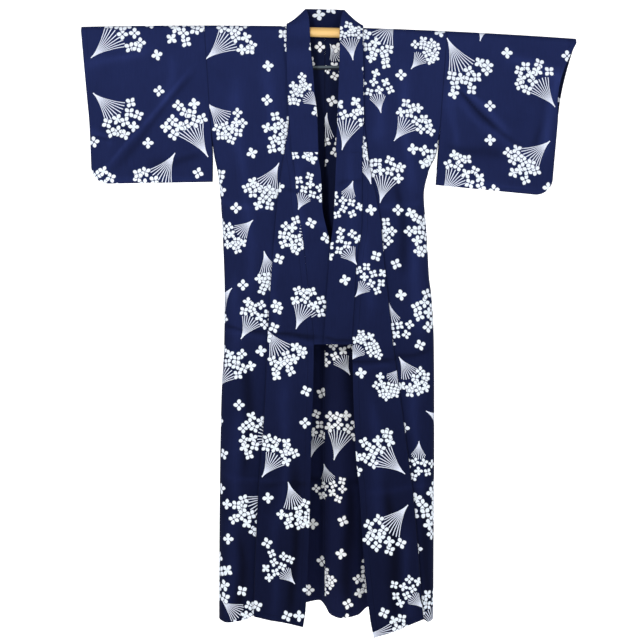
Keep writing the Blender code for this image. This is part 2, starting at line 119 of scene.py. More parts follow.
RIGHT_FRONT = curves_of(
    "drop side pleat edge collar",
    (0, 317.8, 101.4, 101.4, 42.0), (50, 314.5, 101.0, 101.0, 39.6), (100, 311.2, 100.0, 100.0, 34.0),
    (160, 307.3, 98.0, 98.0, 29.8), (225, 303.0, 95.0, 95.0, 22.6), (250, 301.0, 96.0, 92.5, 21.5),
    (321, 294.0, 107.0, 87.0, 19.0), (379, 282.5, 116.0, 79.0, 10.6), (466, 274.5, 127.0, 71.3, 6.9),
    (550, 270.0, 134.0, 58.0, -10.6), (700, 265.5, 144.5, 42.0, -30.0),
    (826, 267.0, 151.5, 29.5, -45.0), (940, 273.0, 156.0, 31.0, -45.0),
    (1032, 275.6, 161.0, 34.5, -45.0), (1234, 278.5, 176.0, 39.0, -45.0),
    (1503, 280.0, 185.5, 50.0, -45.0), (1550, 280.0, 186.0, 57.0, -45.0),
)
LEFT_FRONT = curves_of(
    "drop side pleat edge collar",
    (0, 322.8, 99.0, 99.0, 41.4), (50, 319.1, 100.0, 100.0, 41.0), (100, 315.4, 100.8, 100.8, 39.5),
    (160, 311.0, 101.0, 101.0, 37.5), (225, 306.3, 102.0, 102.0, 35.0),
    (250, 304.0, 104.5, 101.0, 34.0), (321, 295.0, 112.0, 99.0, 30.5), (362, 277.0, 118.0, 98.0, 28.5),
    (432, 262.0, 134.0, 98.0, 26.0), (514, 268.0, 148.0, 97.0, 21.0), (578, 272.0, 153.0, 87.0, 13.2),
    (646, 275.6, 160.0, 81.0, 8.5), (709, 283.6, 167.0, 78.0, 4.0), (826, 288.5, 179.0, 72.0, -2.0),
    (950, 289.4, 196.0, 74.0, -2.0), (1131, 289.4, 220.0, 82.0, -2.0), (1208, 289.0, 230.0, 90.0, -2.0),
    (1352, 288.0, 243.0, 99.0, -2.0), (1506, 287.3, 254.0, 117.0, -2.0),
    (1550, 287.0, 258.0, 127.0, -2.0),
)
DEPTH = curves_of(
    "drop panel belly turn right_edge left_edge",
    (0, 14.2, 0.0, 1.9, 14.8, 14.8), (100, 14.5, 1.0, 1.9, 20.5, 20.5),
    (250, 15.2, 2.0, 1.9, 24.0, 24.2), (466, 16.5, 2.5, 2.0, 25.5, 29.0),
    (600, 17.5, 3.0, 2.2, 26.5, 33.0), (826, 19.0, 4.0, 2.5, 30.0, 39.0),
    (1200, 22.0, 6.0, 3.3, 42.0, 47.0), (1550, 26.0, 8.0, 4.3, 54.0, 60.0),
)
SIDE_ROUND = 24.0

# The hem's drop along each front piece: (out, drop).
RIGHT_PANEL_HEM = curve_through((110, 1540), (186, 1538), (210, 1549), (258, 1557), (280, 1551))
RIGHT_OKUMI_HEM = curve_through((56, 1564), (112, 1552), (145, 1547), (172, 1541), (186, 1538))
LEFT_PANEL_HEM = curve_through((150, 1542), (255, 1546), (272, 1556), (287, 1551))
LEFT_OKUMI_HEM = curve_through(
    (127, 1590), (158, 1582), (176, 1577), (200, 1568), (226, 1557), (258, 1545),
)
BACK = curves_of(
    "x depth hem",
    (-288, 0.00, 1551), (-235, 0.50, 1548), (-165, 0.10, 1545), (-100, 0.70, 1535), (-51, 0.95, 1522),
    (-14, 1.00, 1516), (0, 0.60, 1526), (14, 0.22, 1547), (45, 0.00, 1556), (88, 0.25, 1549),
    (117, 0.80, 1532), (180, 0.15, 1536), (235, 0.55, 1545), (290, 0.00, 1551),
)
# How far behind the rod the back's folds may lie: (drop, depth).
BACK_DEPTH = curve_through((0, 0), (120, 3), (300, 13), (600, 23), (1100, 33), (1550, 42))

Sleeve = namedtuple(
    "Sleeve",
    "top_in top_out armhole_slope in_least in_drop corner_drop corner_radius out_drop cuff_drop"
    " cuff_out corner_out front_bow back_bow",
)
RIGHT_SLEEVE = Sleeve(
    top_in=317.8, top_out=644.0, armhole_slope=-0.0655, in_least=297.0, in_drop=396.0,
    corner_drop=400.5, corner_radius=45.0, out_drop=356.0, cuff_drop=230.0, cuff_out=623.5,
    corner_out=619.0, front_bow=0.0, back_bow=0.0,
)
LEFT_SLEEVE = Sleeve(
    top_in=322.8, top_out=664.0, armhole_slope=-0.0734, in_least=291.5, in_drop=404.0,
    corner_drop=430.0, corner_radius=45.0, out_drop=384.0, cuff_drop=238.0, cuff_out=617.0,
    corner_out=604.0, front_bow=-20.0, back_bow=-6.0,
)
ARMHOLE_FADE = 4
CUFF_FADE = 6
# How far a sleeve's layers lie from the rod's plane: (share of the way up, depth).
BAG_DEPTH = curve_through(
    (0.0, 0.5), (0.006, 2.6), (0.03, 5.5), (0.10, 9.0), (0.25, 12.0), (0.45, 13.6), (0.65, 14.2),
    (1.0, 14.2),
)

# The collar's turn round the neck: (out, y, z) of its seam and of its free edge, from the front.
NECK_TURN = (
    ((101.0, -13.8, 11.4), (43.5, -21.0, 24.0)),
    ((100.5, -2.5, 18.0), (47.5, -15.0, 47.0)),
    ((98.0, 8.5, 15.4), (51.5, -3.0, 57.4)),
    ((86.0, 16.2, 9.6), (47.5, 10.0, 61.4)),
    ((56.0, 17.2, 7.0), (35.0, 16.5, 63.0)),
    ((26.0, 17.4, 4.8), (18.0, 18.5, 63.4)),
)
NECK_MIDDLE = ((0.0, 17.4, 3.6), (0.0, 19.0, 63.2))
NECK_FROM = 90.0  # the drop at which the turn leaves the straight collar
NECK_LEAD = 12  # and how many of its points before that give the turn its direction
NECK_FRONT_Y = -10.0  # the collar is in front of the rod before this y,
NECK_BACK_Y = 5.0  # and behind it beyond this y
COLLAR_LIFT = 2.4
COLLAR_TILT = 0.6
COLLAR_TOP = 3.0  # the drop from which the collar's rows start
# Where the back's top edge runs round the neck: (degrees over the rod from its front, out).
NECK_EDGE = ((90, 101.0), (122, 98.5), (138, 87.0), (150, 57.0), (160, 27.0), (168, 0.2), (180, 0.2))
NECK_OUT = curve_through(*((radians(angle), out) for angle, out in NECK_EDGE))

TAPE_HALF = 62.0
TAPE_DROP = (86.0, 96.5)
TAPE_GAP = 1.6  # between the tape and the back

Half = namedtuple("Half", "name sign front panel_hem okumi_hem sleeve edge_depth")

HALVES = (
    Half("right", -1, RIGHT_FRONT, RIGHT_PANEL_HEM, RIGHT_OKUMI_HEM, RIGHT_SLEEVE, DEPTH["right_edge"]),
    Half("left", 1, LEFT_FRONT, LEFT_PANEL_HEM, LEFT_OKUMI_HEM, LEFT_SLEEVE, DEPTH["left_edge"]),
)

# ---------------------------------------------------------------- how finely the cloth is drawn

LEVELS = np.linspace(0.0, HEM, 275)
MAIN_COLUMNS = 33
COLUMN_BIAS = 1.15  # above 1, a panel's columns are closer together at its side
TURN_STEPS = 6
FOLD_STEPS = 4
OKUMI_COLUMNS = 30
TIP_GAP = 2.0  # the least drop from the okumi's tip to its next row
COLLAR_COLUMNS = 15
COLLAR_TURN_STEPS = 6
OVER_COLLAR_INSIDE = COLLAR_COLUMNS + COLLAR_TURN_STEPS - 1  # first column on the inner side
NECK_STEPS = 64
SHOULDER_STEPS = 14
SLEEVE_STATIONS = 72
SLEEVE_SHARES = np.concatenate([[0, 0.004, 0.012], np.linspace(0.02, 1, 71)])

# ---------------------------------------------------------------- creases, one by one

# Each is a soft ridge (lift above 0) or trough between two points, seen from the viewer:
# x and drop of its start, x and drop of its end, how far it lifts the cloth, and its half width.
FRONT_CREASES = (
    # the crease across the middle, from years folded in a drawer
    (-272, 776, -146, 797, -2.6, 5.5), (-262, 790, -150, 810, 1.6, 9.0),
    (-142, 796, -16, 806, -2.8, 5.5), (-130, 812, -12, 822, 1.8, 9.0), (-8, 808, 84, 818, -2.2, 5.5),
    (42, 872, 188, 867, -2.6, 5.5), (50, 886, 180, 881, 1.8, 9.0), (180, 862, 285, 842, -2.2, 6.0),
    # softer creases across, higher up and lower down
    (-285, 452, -120, 470, 1.3, 8.0), (-108, 418, 8, 428, -1.6, 6.0), (-100, 500, 10, 512, 1.4, 8.0),
    (110, 470, 270, 448, 1.3, 8.0), (104, 392, 30, 404, -1.5, 6.0), (-278, 1170, -130, 1186, 1.5, 8.0),
    (-168, 1196, -40, 1188, -1.6, 6.0), (100, 1212, 280, 1196, 1.6, 8.0),
    # long upright folds
    (-240, 120, -215, 430, 2.0, 16.0), (-150, 70, -146, 300, 1.6, 14.0),
    (-206, 420, -190, 700, 2.0, 13.0), (-232, 640, -240, 900, 2.2, 15.0),
    (-228, 980, -236, 1320, 3.4, 17.0), (-200, 860, -208, 1180, -3.0, 13.0),
    (-244, 1250, -250, 1552, 3.2, 15.0), (-218, 1330, -222, 1552, -3.0, 12.0),
    (-140, 560, -128, 800, 1.8, 14.0), (-100, 900, -112, 1300, 3.0, 16.0),
    (-74, 1120, -88, 1560, -3.2, 14.0), (-126, 1240, -136, 1560, 3.0, 14.0),
    (206, 90, 226, 440, 2.2, 15.0), (140, 110, 150, 300, 1.8, 14.0), (190, 380, 214, 640, -2.4, 13.0),
    (238, 520, 244, 820, 2.6, 15.0), (232, 900, 252, 1260, 3.2, 15.0),
    (262, 1180, 272, 1552, -2.2, 9.0), (106, 520, 118, 760, 2.0, 14.0),
    (122, 960, 150, 1360, 3.2, 16.0), (165, 1180, 190, 1570, -3.2, 14.0),
    (205, 1290, 226, 1560, 3.0, 13.0), (-70, 330, -66, 560, 1.6, 13.0), (70, 300, 66, 620, 1.6, 13.0),
)
BACK_CREASES = (
    (-285, 795, -60, 812, 3.0, 8.0), (-120, 820, 130, 806, -2.7, 9.0), (70, 812, 286, 792, 3.0, 8.0),
    (-280, 452, 0, 466, 2.0, 9.0), (20, 466, 270, 452, 1.8, 9.0), (-282, 1180, 40, 1192, 2.2, 9.0),
    (60, 1196, 285, 1186, 2.2, 9.0), (-205, 120, -190, 420, 2.7, 18.0),
    (-120, 60, -116, 380, -2.2, 18.0), (210, 150, 196, 420, 2.7, 18.0), (120, 60, 118, 330, -2.2, 18.0),
    (-255, 420, -250, 760, 3.0, 14.0), (-190, 700, -196, 1130, 3.3, 17.0),
    (-140, 900, -140, 1500, -3.6, 16.0), (-245, 1060, -250, 1552, 3.9, 15.0),
    (80, 640, 76, 1080, 3.0, 16.0), (160, 520, 156, 900, -3.3, 16.0), (216, 860, 214, 1420, 3.6, 16.0),
    (262, 980, 266, 1552, -2.4, 11.0), (66, 1180, 60, 1552, 3.3, 14.0),
)
SLEEVE_CREASES = {
    "right": (
        (-356, 100, -585, 370, 2.6, 5.5), (-340, 104, -568, 376, -1.8, 9.0),
        (-330, 170, -420, 262, 1.6, 14.0), (-450, 40, -640, 96, 1.8, 14.0),
        (-560, 300, -626, 250, 1.8, 11.0), (-620, 279, -566, 283, -2.6, 5.5),
        (-320, 330, -470, 352, -1.8, 13.0), (-316, 386, -600, 390, 1.2, 7.0),
        (-470, 250, -600, 262, -1.6, 12.0), (-400, 60, -420, 200, 1.5, 15.0),
    ),
    "left": (
        (350, 154, 470, 274, -3.6, 6.0), (462, 268, 520, 304, -2.0, 6.0),
        (366, 148, 490, 268, 3.2, 10.0), (344, 172, 448, 284, 1.8, 11.0),
        (440, 250, 560, 366, 2.0, 12.0), (332, 120, 346, 320, 2.0, 14.0),
        (480, 66, 650, 120, 2.2, 15.0), (614, 100, 574, 330, 3.2, 14.0),
        (592, 120, 556, 320, -1.8, 12.0), (320, 300, 480, 330, -1.8, 12.0),
        (310, 396, 560, 414, 1.4, 7.0),
    ),
}
CREASES_FROM = 14.0  # creases start this far below the rod's axis,
CREASES_FULL = 90.0  # and have their full height this much lower
# How they fade towards a seam: over what distance, and how far on the fade is at the seam itself.
SIDE_FADE = (22.0, 0.05)
MIDDLE_FADE = (8.0, 0.1)
SLEEVE_FADES = (0.12, 0.2)  # shares of a sleeve's height where they fade, at its bottom and top
BACK_SHARE = 0.8  # how high they are on a sleeve's back
CREASE_BEND = 0.35  # how far a crease bends aside, in its half widths
CREASE_BENDS = 2.2  # and in how many half waves
CREASE_TAPER = 0.3  # its ends fade over this share of its length, and start this far into the fade
CREASE_UNEVEN = 0.25  # how much its width varies along it
CREASE_WAVES = 5.0

# Slow uneven waves over a whole layer: wavelengths across and down, phase and height.
WAVES = (
    (173.0, 940.0, 0.4, 0.55), (97.0, 610.0, 2.1, 0.35), (390.0, 233.0, 1.2, 0.45),
    (61.0, 171.0, 4.0, 0.16), (47.0, 83.0, 5.1, 0.10),
)


def creased(points, creases):
    """How far the creases alone lift each (x, drop) of an array."""
    total = np.zeros(points.shape[:-1])
    for *start, end_x, end_drop, lifted, width in creases:
        way = np.array([end_x, end_drop]) - start
        length = np.linalg.norm(way)
        u = way / length
        x, drop = points[..., 0] - start[0], points[..., 1] - start[1]
        along = (x * u[0] + drop * u[1]) / length
        bend = CREASE_BEND * width * np.sin(CREASE_BENDS * pi * along + start[0])
        aside = x * u[1] - drop * u[0] + bend
        ends = smooth_step(along / CREASE_TAPER + CREASE_TAPER)
        ends *= smooth_step((1 - along) / CREASE_TAPER + CREASE_TAPER)
        reach = width * (1 + CREASE_UNEVEN * np.sin(CREASE_WAVES * along + start[1]))
        total += lifted * ends * np.exp(-((aside / reach) ** 2))
    return total


def relief(points, creases):
    """How far each (x, drop) of an array lies in front of its smooth place."""
    total = creased(points, creases)
    for across, down, phase, rise in WAVES:
        wave = np.sin(2 * pi * points[..., 0] / across + phase)
        total += rise * wave * np.cos(2 * pi * points[..., 1] / down + 2 * phase)
    return total


def x_and_drop(points):
    return np.stack([points[..., 0], -points[..., 2]], -1)


def below_rod(drop, fade=CREASES_FULL):
    """0 where the cloth lies on the rod, rising to 1 below it."""
    return smooth_step((drop - CREASES_FROM) / fade)


# ---------------------------------------------------------------- sections of the robe


def rod_height(x):
    return ROD_TILT * x + ROD_BOW * x * x


def height(level, x, hem_drop):
    if level > HEM_EASE:
        share = (level - HEM_EASE) / (HEM - HEM_EASE)
        return -(HEM_EASE + share * (hem_drop - HEM_EASE))
    fade = max(0.0, 1 - level / SIDE_SEAM_TOP)
    return -level + rod_height(x) * fade


def armhole(half, drop):
    return half.sleeve.top_in + half.sleeve.armhole_slope * drop


def side_out(half, level):
    if level >= SIDE_SEAM_TOP:
        return half.front["side"](level)
    seam = armhole(half, -height(level, half.sign * half.sleeve.top_in, HEM)) - SEAM_GAP / 2
    return seam if level <= SLEEVE_SEAM_END else min(half.front["side"](level), seam)


def side_rounding(distance, level):
    """The share of the cloth's depth at a distance from a side seam, where it turns back."""
    closing = smooth_step((level - SLEEVE_SEAM_END) / (SIDE_SEAM_TOP - SLEEVE_SEAM_END))
    near = max(0.0, 1 - distance / SIDE_ROUND)
    return 1 - closing * (1 - sqrt(max(0.0, 1 - near * near)))


def pleat_depth(half, level):
    shows = side_out(half, level) - half.front["pleat"](level)
    shoulder_cut = armhole(half, 0) - half.front["pleat"](0)
    cut = shoulder_cut + (FRONT_CUT - shoulder_cut) * min(1.0, level / FRONT_CUT_DROP)
    return max(0.0, (cut - shows) / 2)


def pleat_turn(depth):
    return pi * smooth_step(depth / PLEAT_OPEN)


def arc_legs(length, start, end, steps):
    """Legs of (length, heading) along an arc whose heading goes evenly from start to end."""
    return [(length / steps, start + (end - start) * (k + 0.5) / steps) for k in range(steps)]


def walk(start, legs):
    points = [start]
    for length, heading in legs:
        inward, forward = points[-1]
        points.append((inward + length * cos(heading), forward + length * sin(heading)))
    return points


def pleat_legs(half, level):
    depth = pleat_depth(half, level)
    turn = pleat_turn(depth)
    chord = DEPTH["turn"](level)
    arc = ARC_CHORDS * chord
    flat = [(max(depth, chord) / FOLD_STEPS, turn)] * FOLD_STEPS
    return arc_legs(arc, 0, turn, 2 * TURN_STEPS) + flat + arc_legs(arc / 2, turn, turn / 2, TURN_STEPS)


def seam_point(half, level):
    end = walk((0.0, 0.0), pleat_legs(half, level))[-1]
    return half.front["pleat"](level), DEPTH["panel"](level) + end[1]


def panel_section(half, level):
    """(out, forward, print's s) of a front panel's columns, from its side edge to its inner seam."""
    legs = pleat_legs(half, level)
    pleat = walk((0.0, 0.0), legs)
    side = side_out(half, level)
    reach = (side - half.front["pleat"](level)) - pleat[-1][0] - SEAM_GAP / 2
    ahead = DEPTH["panel"](level)
    points = []
    for share in np.linspace(0, 1, MAIN_COLUMNS) ** COLUMN_BIAS:
        forward = ahead + DEPTH["belly"](level) * sin(pi * share)
        forward *= side_rounding(share * reach, level)
        points.append((side - share * reach, forward, side - share * reach))
    s = side - reach
    for (inward, forward), (length, _) in zip(pleat[1:], legs):
        s -= length
        points.append((side - reach - inward, ahead + forward, s))
    return points


def okumi_section(half, level):
    """(out, forward, print's s) of the okumi's columns, from its seam to its inner edge."""
    turn = pleat_turn(pleat_depth(half, level))
    out, forward = seam_point(half, level)
    edge = half.front["edge"](level) + SEAM_GAP
    arc = ARC_CHORDS * DEPTH["turn"](level) / 2
    arc *= min(1.0, SEAM_TURN_MOST * (out - edge) / arc)
    start = walk((0.0, forward), [(SEAM_GAP / 2, turn / 2)] + arc_legs(arc, turn / 2, 0, TURN_STEPS))[1:]
    points = [(out - inward, ahead, out - inward) for inward, ahead in start]
    last_out, last_ahead, _ = points[-1]
    edge_ahead = max(half.edge_depth(level), last_ahead)
    for share in np.linspace(0, 1, OKUMI_COLUMNS)[1:]:
        near = last_out + share * (edge - last_out)
        points.append((near, last_ahead + share * (edge_ahead - last_ahead), near))
    return points


# A grid of cloth: its points (mm), the print's own coordinates on it (mm), and which of its
# points the viewer sees from the front.
Grid = namedtuple("Grid", "points s t seen")


def grid_of(rows, seen=True):
    """rows hold (x, y, z, s, t) for each point."""
    data = np.array(rows, float)
    return Grid(data[..., :3], data[..., 3], data[..., 4], np.full(data.shape[:2], True) & seen)


def seam_fade(away, fade):
    reach, start = fade
    return smooth_step(np.abs(away) / reach + start)


def lift(points, creases, share, sign=-1.0):
    """Moves cloth by the creases at its place: forwards (sign -1) or back, by a share of them."""
    at = x_and_drop(points)
    points[..., 1] += sign * (below_rod(at[..., 1]) * share) * relief(at, creases)


QUARTER = OVER_ROD * pi / 2


def front_rows(half, section, levels, hem):
    rows = []
    for level in levels:
        row = []
        for out, forward, s in section(half, level):
            x = half.sign * out
            z = height(level, x, hem(out))
            row.append((x, -forward, z, half.sign * s, z - rod_height(x) - QUARTER))
        rows.append(row)
    return np.array(rows, float)


def shoulder_rows(half, top):
    """The cloth over the rod, from the front's top row to an even row at the back's top."""
    columns = len(top)
    first_share = (top[0, 0] - top[:, 0]) / (top[0, 0] - top[-1, 0])
    side = side_out(half, 0)
    rows = []
    for k in range(1, SHOULDER_STEPS):
        angle = pi * k / SHOULDER_STEPS
        blend = smooth_step(angle / pi)
        share = (1 - blend) * first_share + blend * np.linspace(0, 1, columns)
        x = half.sign * (side + share * (NECK_OUT(max(angle, pi / 2)) - side))
        rows.append(np.stack([
            x, np.full(columns, -OVER_ROD * cos(angle)), rod_height(x) + OVER_ROD * sin(angle),
            x, np.full(columns, -QUARTER + angle * OVER_ROD),
        ], -1))
    return np.array(rows)


def back_rows(half, columns):
    rows = []
    for level in LEVELS:
        side = side_out(half, level)
        row = []
        for share in np.linspace(0, 1, columns):
            out = side + share * (SEAM_GAP / 2 - side)
            x = half.sign * out
            y = (OVER_ROD + BACK_DEPTH(level) * BACK["depth"](x)) * side_rounding(side - out, level)
            z = height(level, x, BACK["hem"](x))
            row.append((x, y, z, x, QUARTER + rod_height(x) - z))
        rows.append(row)
    return np.array(rows)


def body_grid(half):
    """One length of cloth from the front hem over the shoulder to the back hem.

    Each of its rows has a part: 0 in the front, 1 over the rod and 2 in the back.
    """
    front = front_rows(half, panel_section, LEVELS[::-1], half.panel_hem)
    over = shoulder_rows(half, front[-1])
    back = back_rows(half, front.shape[1])
    sewn = LEVELS >= SIDE_SEAM_TOP
    front[sewn[::-1], 0, 1] = -SIDE_GAP
    back[sewn, 0, 0] = front[::-1][sewn, 0, 0]
    back[sewn, 0, 1] = SIDE_GAP
    beside, behind = [seam_fade(layer[:, :1, 0] - layer[..., 0], SIDE_FADE) for layer in (front, back)]
    lift(front, FRONT_CREASES, beside)
    lift(back, BACK_CREASES, behind * seam_fade(back[..., 0], MIDDLE_FADE), sign=1.0)
    part = np.repeat([0, 1, 2], [len(front), len(over), len(back)])
    return grid_of(np.concatenate([front, over, back])), part


def okumi_grid(half):
    levels = [OKUMI_TIP] + [level for level in LEVELS if level > OKUMI_TIP + TIP_GAP]
    rows = front_rows(half, okumi_section, levels, half.okumi_hem)
    lift(rows, FRONT_CREASES, 1.0)
    return grid_of(rows)


def collar_side(half, end_drop):
    """The collar's seam and free edge on one front, from end_drop up to the shoulder."""
    side = []
    for level in [level for level in LEVELS if COLLAR_TOP < level < end_drop] + [end_drop]:
        ahead = max(half.edge_depth(level), seam_point(half, level)[1]) + COLLAR_LIFT
        pair = []
        for line, forward in (("edge", ahead), ("collar", ahead + COLLAR_TILT)):
            x = half.sign * half.front[line](level)
            pair.append((x, -forward, height(level, x, HEM)))
        side.append(pair)
    return side[::-1]


def neck_lines():
    """The collar's turn round the neck as smooth lines through its named points."""
    right, left = [collar_side(half, NECK_FROM) for half in HALVES]
    turns = [
        [[(sign * out, y, z + rod_height(sign * out)) for out, y, z in neck] for neck in NECK_TURN]
        for sign in (-1, 1)
    ]
    knots = [right[-NECK_LEAD], right[-1], *turns[0], NECK_MIDDLE, *turns[1][::-1]]
    knots = np.array(knots + [left[-1], left[-NECK_LEAD]], float)
    along = np.concatenate([[0], np.cumsum(np.linalg.norm(np.diff(knots[:, 1], axis=0), axis=1))])
    curves = [[curve_through(*zip(along, knots[:, e, k])) for k in range(3)] for e in range(2)]
    ways = np.linspace(along[1], along[-2], NECK_STEPS)[1:-1]
    return [[[curve(way) for curve in edge] for edge in curves] for way in ways]


def grid_normals(points):
    """The unit normal at each point of a grid."""
    normals = np.cross(np.gradient(points, axis=0), np.gradient(points, axis=1))
    return normals / np.maximum(np.linalg.norm(normals, axis=2, keepdims=True), 1e-9)


def strip_print(points):
    """The print's coordinates along a strip: across from its seam, and along its middle line."""
    middle = points[:, points.shape[1] // 2]
    t = np.concatenate([[0], np.cumsum(np.linalg.norm(np.diff(middle, axis=0), axis=1))])
    t -= t[-1] / 2
    across = np.linalg.norm(np.diff(points, axis=1), axis=2)
    s = np.concatenate([np.zeros((len(points), 1)), np.cumsum(across, axis=1)], axis=1)
    return s, np.repeat(t[:, None], points.shape[1], 1)


def collar_points(end_drop):
    right, left = [collar_side(half, end_drop) for half in HALVES]
    ends = np.array(right + neck_lines() + left[::-1], float)
    shares = np.linspace(0, 1, COLLAR_COLUMNS)[None, :, None]
    points = ends[:, :1] + shares * (ends[:, 1:] - ends[:, :1])
    lift(points, FRONT_CREASES, 1.0)
    return points


def before_rod(points):
    return points[:, :1, 1] < NECK_FRONT_Y


def behind_rod(points):
    return points[:, :1, 1] > NECK_BACK_Y


def collar_grid():
    points = collar_points(COLLAR_END)
    s, t = strip_print(points)
    return Grid(points, s, t, np.broadcast_to(before_rod(points), s.shape))


def over_collar_grid():
    """A second strip round the neck part of the collar, turned over its free edge."""
    base = collar_points(OVER_COLLAR_END)
    normals = grid_normals(base)
    if normals[0, 0, 1] > 0:
        normals = -normals
    away = COLLAR_WALL / 2 + OVER_COLLAR_GAP + OVER_COLLAR_WALL / 2
    across = base[:, -1] - base[:, -2]
    across /= np.linalg.norm(across, axis=1, keepdims=True)
    turns = []
    for k in range(1, COLLAR_TURN_STEPS):
        angle = pi * k / COLLAR_TURN_STEPS
        turns.append(base[:, -1] + away * (cos(angle) * normals[:, -1] + sin(angle) * across))
    sunk = (base - away * normals)[:, :0:-1]
    points = np.concatenate([base + away * normals, np.stack(turns, 1), sunk], axis=1)
    s, t = strip_print(points)
    seen = np.zeros(s.shape, bool)
    seen[:, :COLLAR_COLUMNS] = before_rod(base)
    seen[:, OVER_COLLAR_INSIDE:] = behind_rod(base)
    return Grid(points, s, t, seen)


def sleeve_hang(cut, station):
    """(out, drop) of a sleeve section's sewn bottom: along the bottom, round the corner, up."""
    radius = cut.corner_radius
    turn_out = cut.corner_out - radius
    bottom = turn_out - cut.in_least
    arc = radius * pi / 2
    rise = cut.out_drop - cut.cuff_drop
    way = station * (bottom + arc + rise)
    if way <= bottom:
        share = way / bottom
        return cut.in_least + way, cut.in_drop + share * (cut.corner_drop - cut.in_drop)
    if way <= bottom + arc:
        angle = (way - bottom) / radius
        return turn_out + radius * sin(angle), cut.corner_drop - radius * (1 - cos(angle))
    share = (way - bottom - arc) / rise
    return cut.corner_out + share * (cut.cuff_out - cut.corner_out), cut.out_drop - share * rise


def sleeve_layer(half, station, front):
    """(x, y, z, s, t) up one layer of a sleeve, front or back, from its sewn bottom to the rod."""
    cut = half.sleeve
    top_in = cut.top_in + SEAM_GAP / 2
    top = top_in + station * (cut.top_out - cut.top_in)
    low, drop = sleeve_hang(cut, station)
    bow = cut.front_bow if front else cut.back_bow
    points = []
    for share in SLEEVE_SHARES:
        z = -drop + share * (rod_height(half.sign * top) + drop)
        edge = max(armhole(half, -z) + SEAM_GAP / 2, cut.in_least)
        inmost = cut.in_least + share * (top_in - cut.in_least)
        out = low + share * (top - low) + (edge - inmost) * (1 - station) ** ARMHOLE_FADE
        out += bow * station**CUFF_FADE * sin(pi * share)
        points.append((half.sign * out, -BAG_DEPTH(share) if front else BAG_DEPTH(share), z))
    points = np.array(points)
    fade = smooth_step(SLEEVE_SHARES / SLEEVE_FADES[0])
    fade *= smooth_step((1 - SLEEVE_SHARES) / SLEEVE_FADES[1])
    lifted = fade * relief(x_and_drop(points), SLEEVE_CREASES[half.name])
    points[:, 1] -= lifted * (1.0 if front else BACK_SHARE)
    down = points[:, 2] - rod_height(points[:, 0]) - QUARTER
    return np.column_stack([points, points[:, 0], down if front else -down])


def sleeve_grid(half):
    """A sleeve: up its front from the sewn bottom, over the rod, and down its back."""
    rows = []
    for station in np.linspace(0, 1, SLEEVE_STATIONS):
        front, back = [sleeve_layer(half, station, side) for side in (True, False)]
        top = half.sleeve.top_in + SEAM_GAP / 2 + station * (half.sleeve.top_out - half.sleeve.top_in)
        rod, x = rod_height(half.sign * top), front[-1, 0]
        over = []
        for k in range(1, SHOULDER_STEPS):
            angle = pi * k / SHOULDER_STEPS
            y, z = -OVER_ROD * cos(angle), rod + OVER_ROD * sin(angle)
            over.append((x, y, z, x, (angle - pi / 2) * OVER_ROD))
        rows.append(np.concatenate([front, over, back[::-1]]))
    return grid_of(rows, seen=np.arange(len(rows[0])) < len(SLEEVE_SHARES))


# ---------------------------------------------------------------- the print

PIXEL = 2.65  # mm in the rod's plane that one pixel of the 640-pixel picture spans
EYE = (-13.0, -3500.0, -762.0)
PICTURE = 640


def in_picture(points):
    """Where the points show in the picture, in pixels."""
    x, y, z = np.moveaxis(points, -1, 0)
    size = PIXEL * (y - EYE[1]) / -EYE[1]
    return np.stack([PICTURE / 2 + (x - EYE[0]) / size, PICTURE / 2 - (z - EYE[2]) / size], -1)


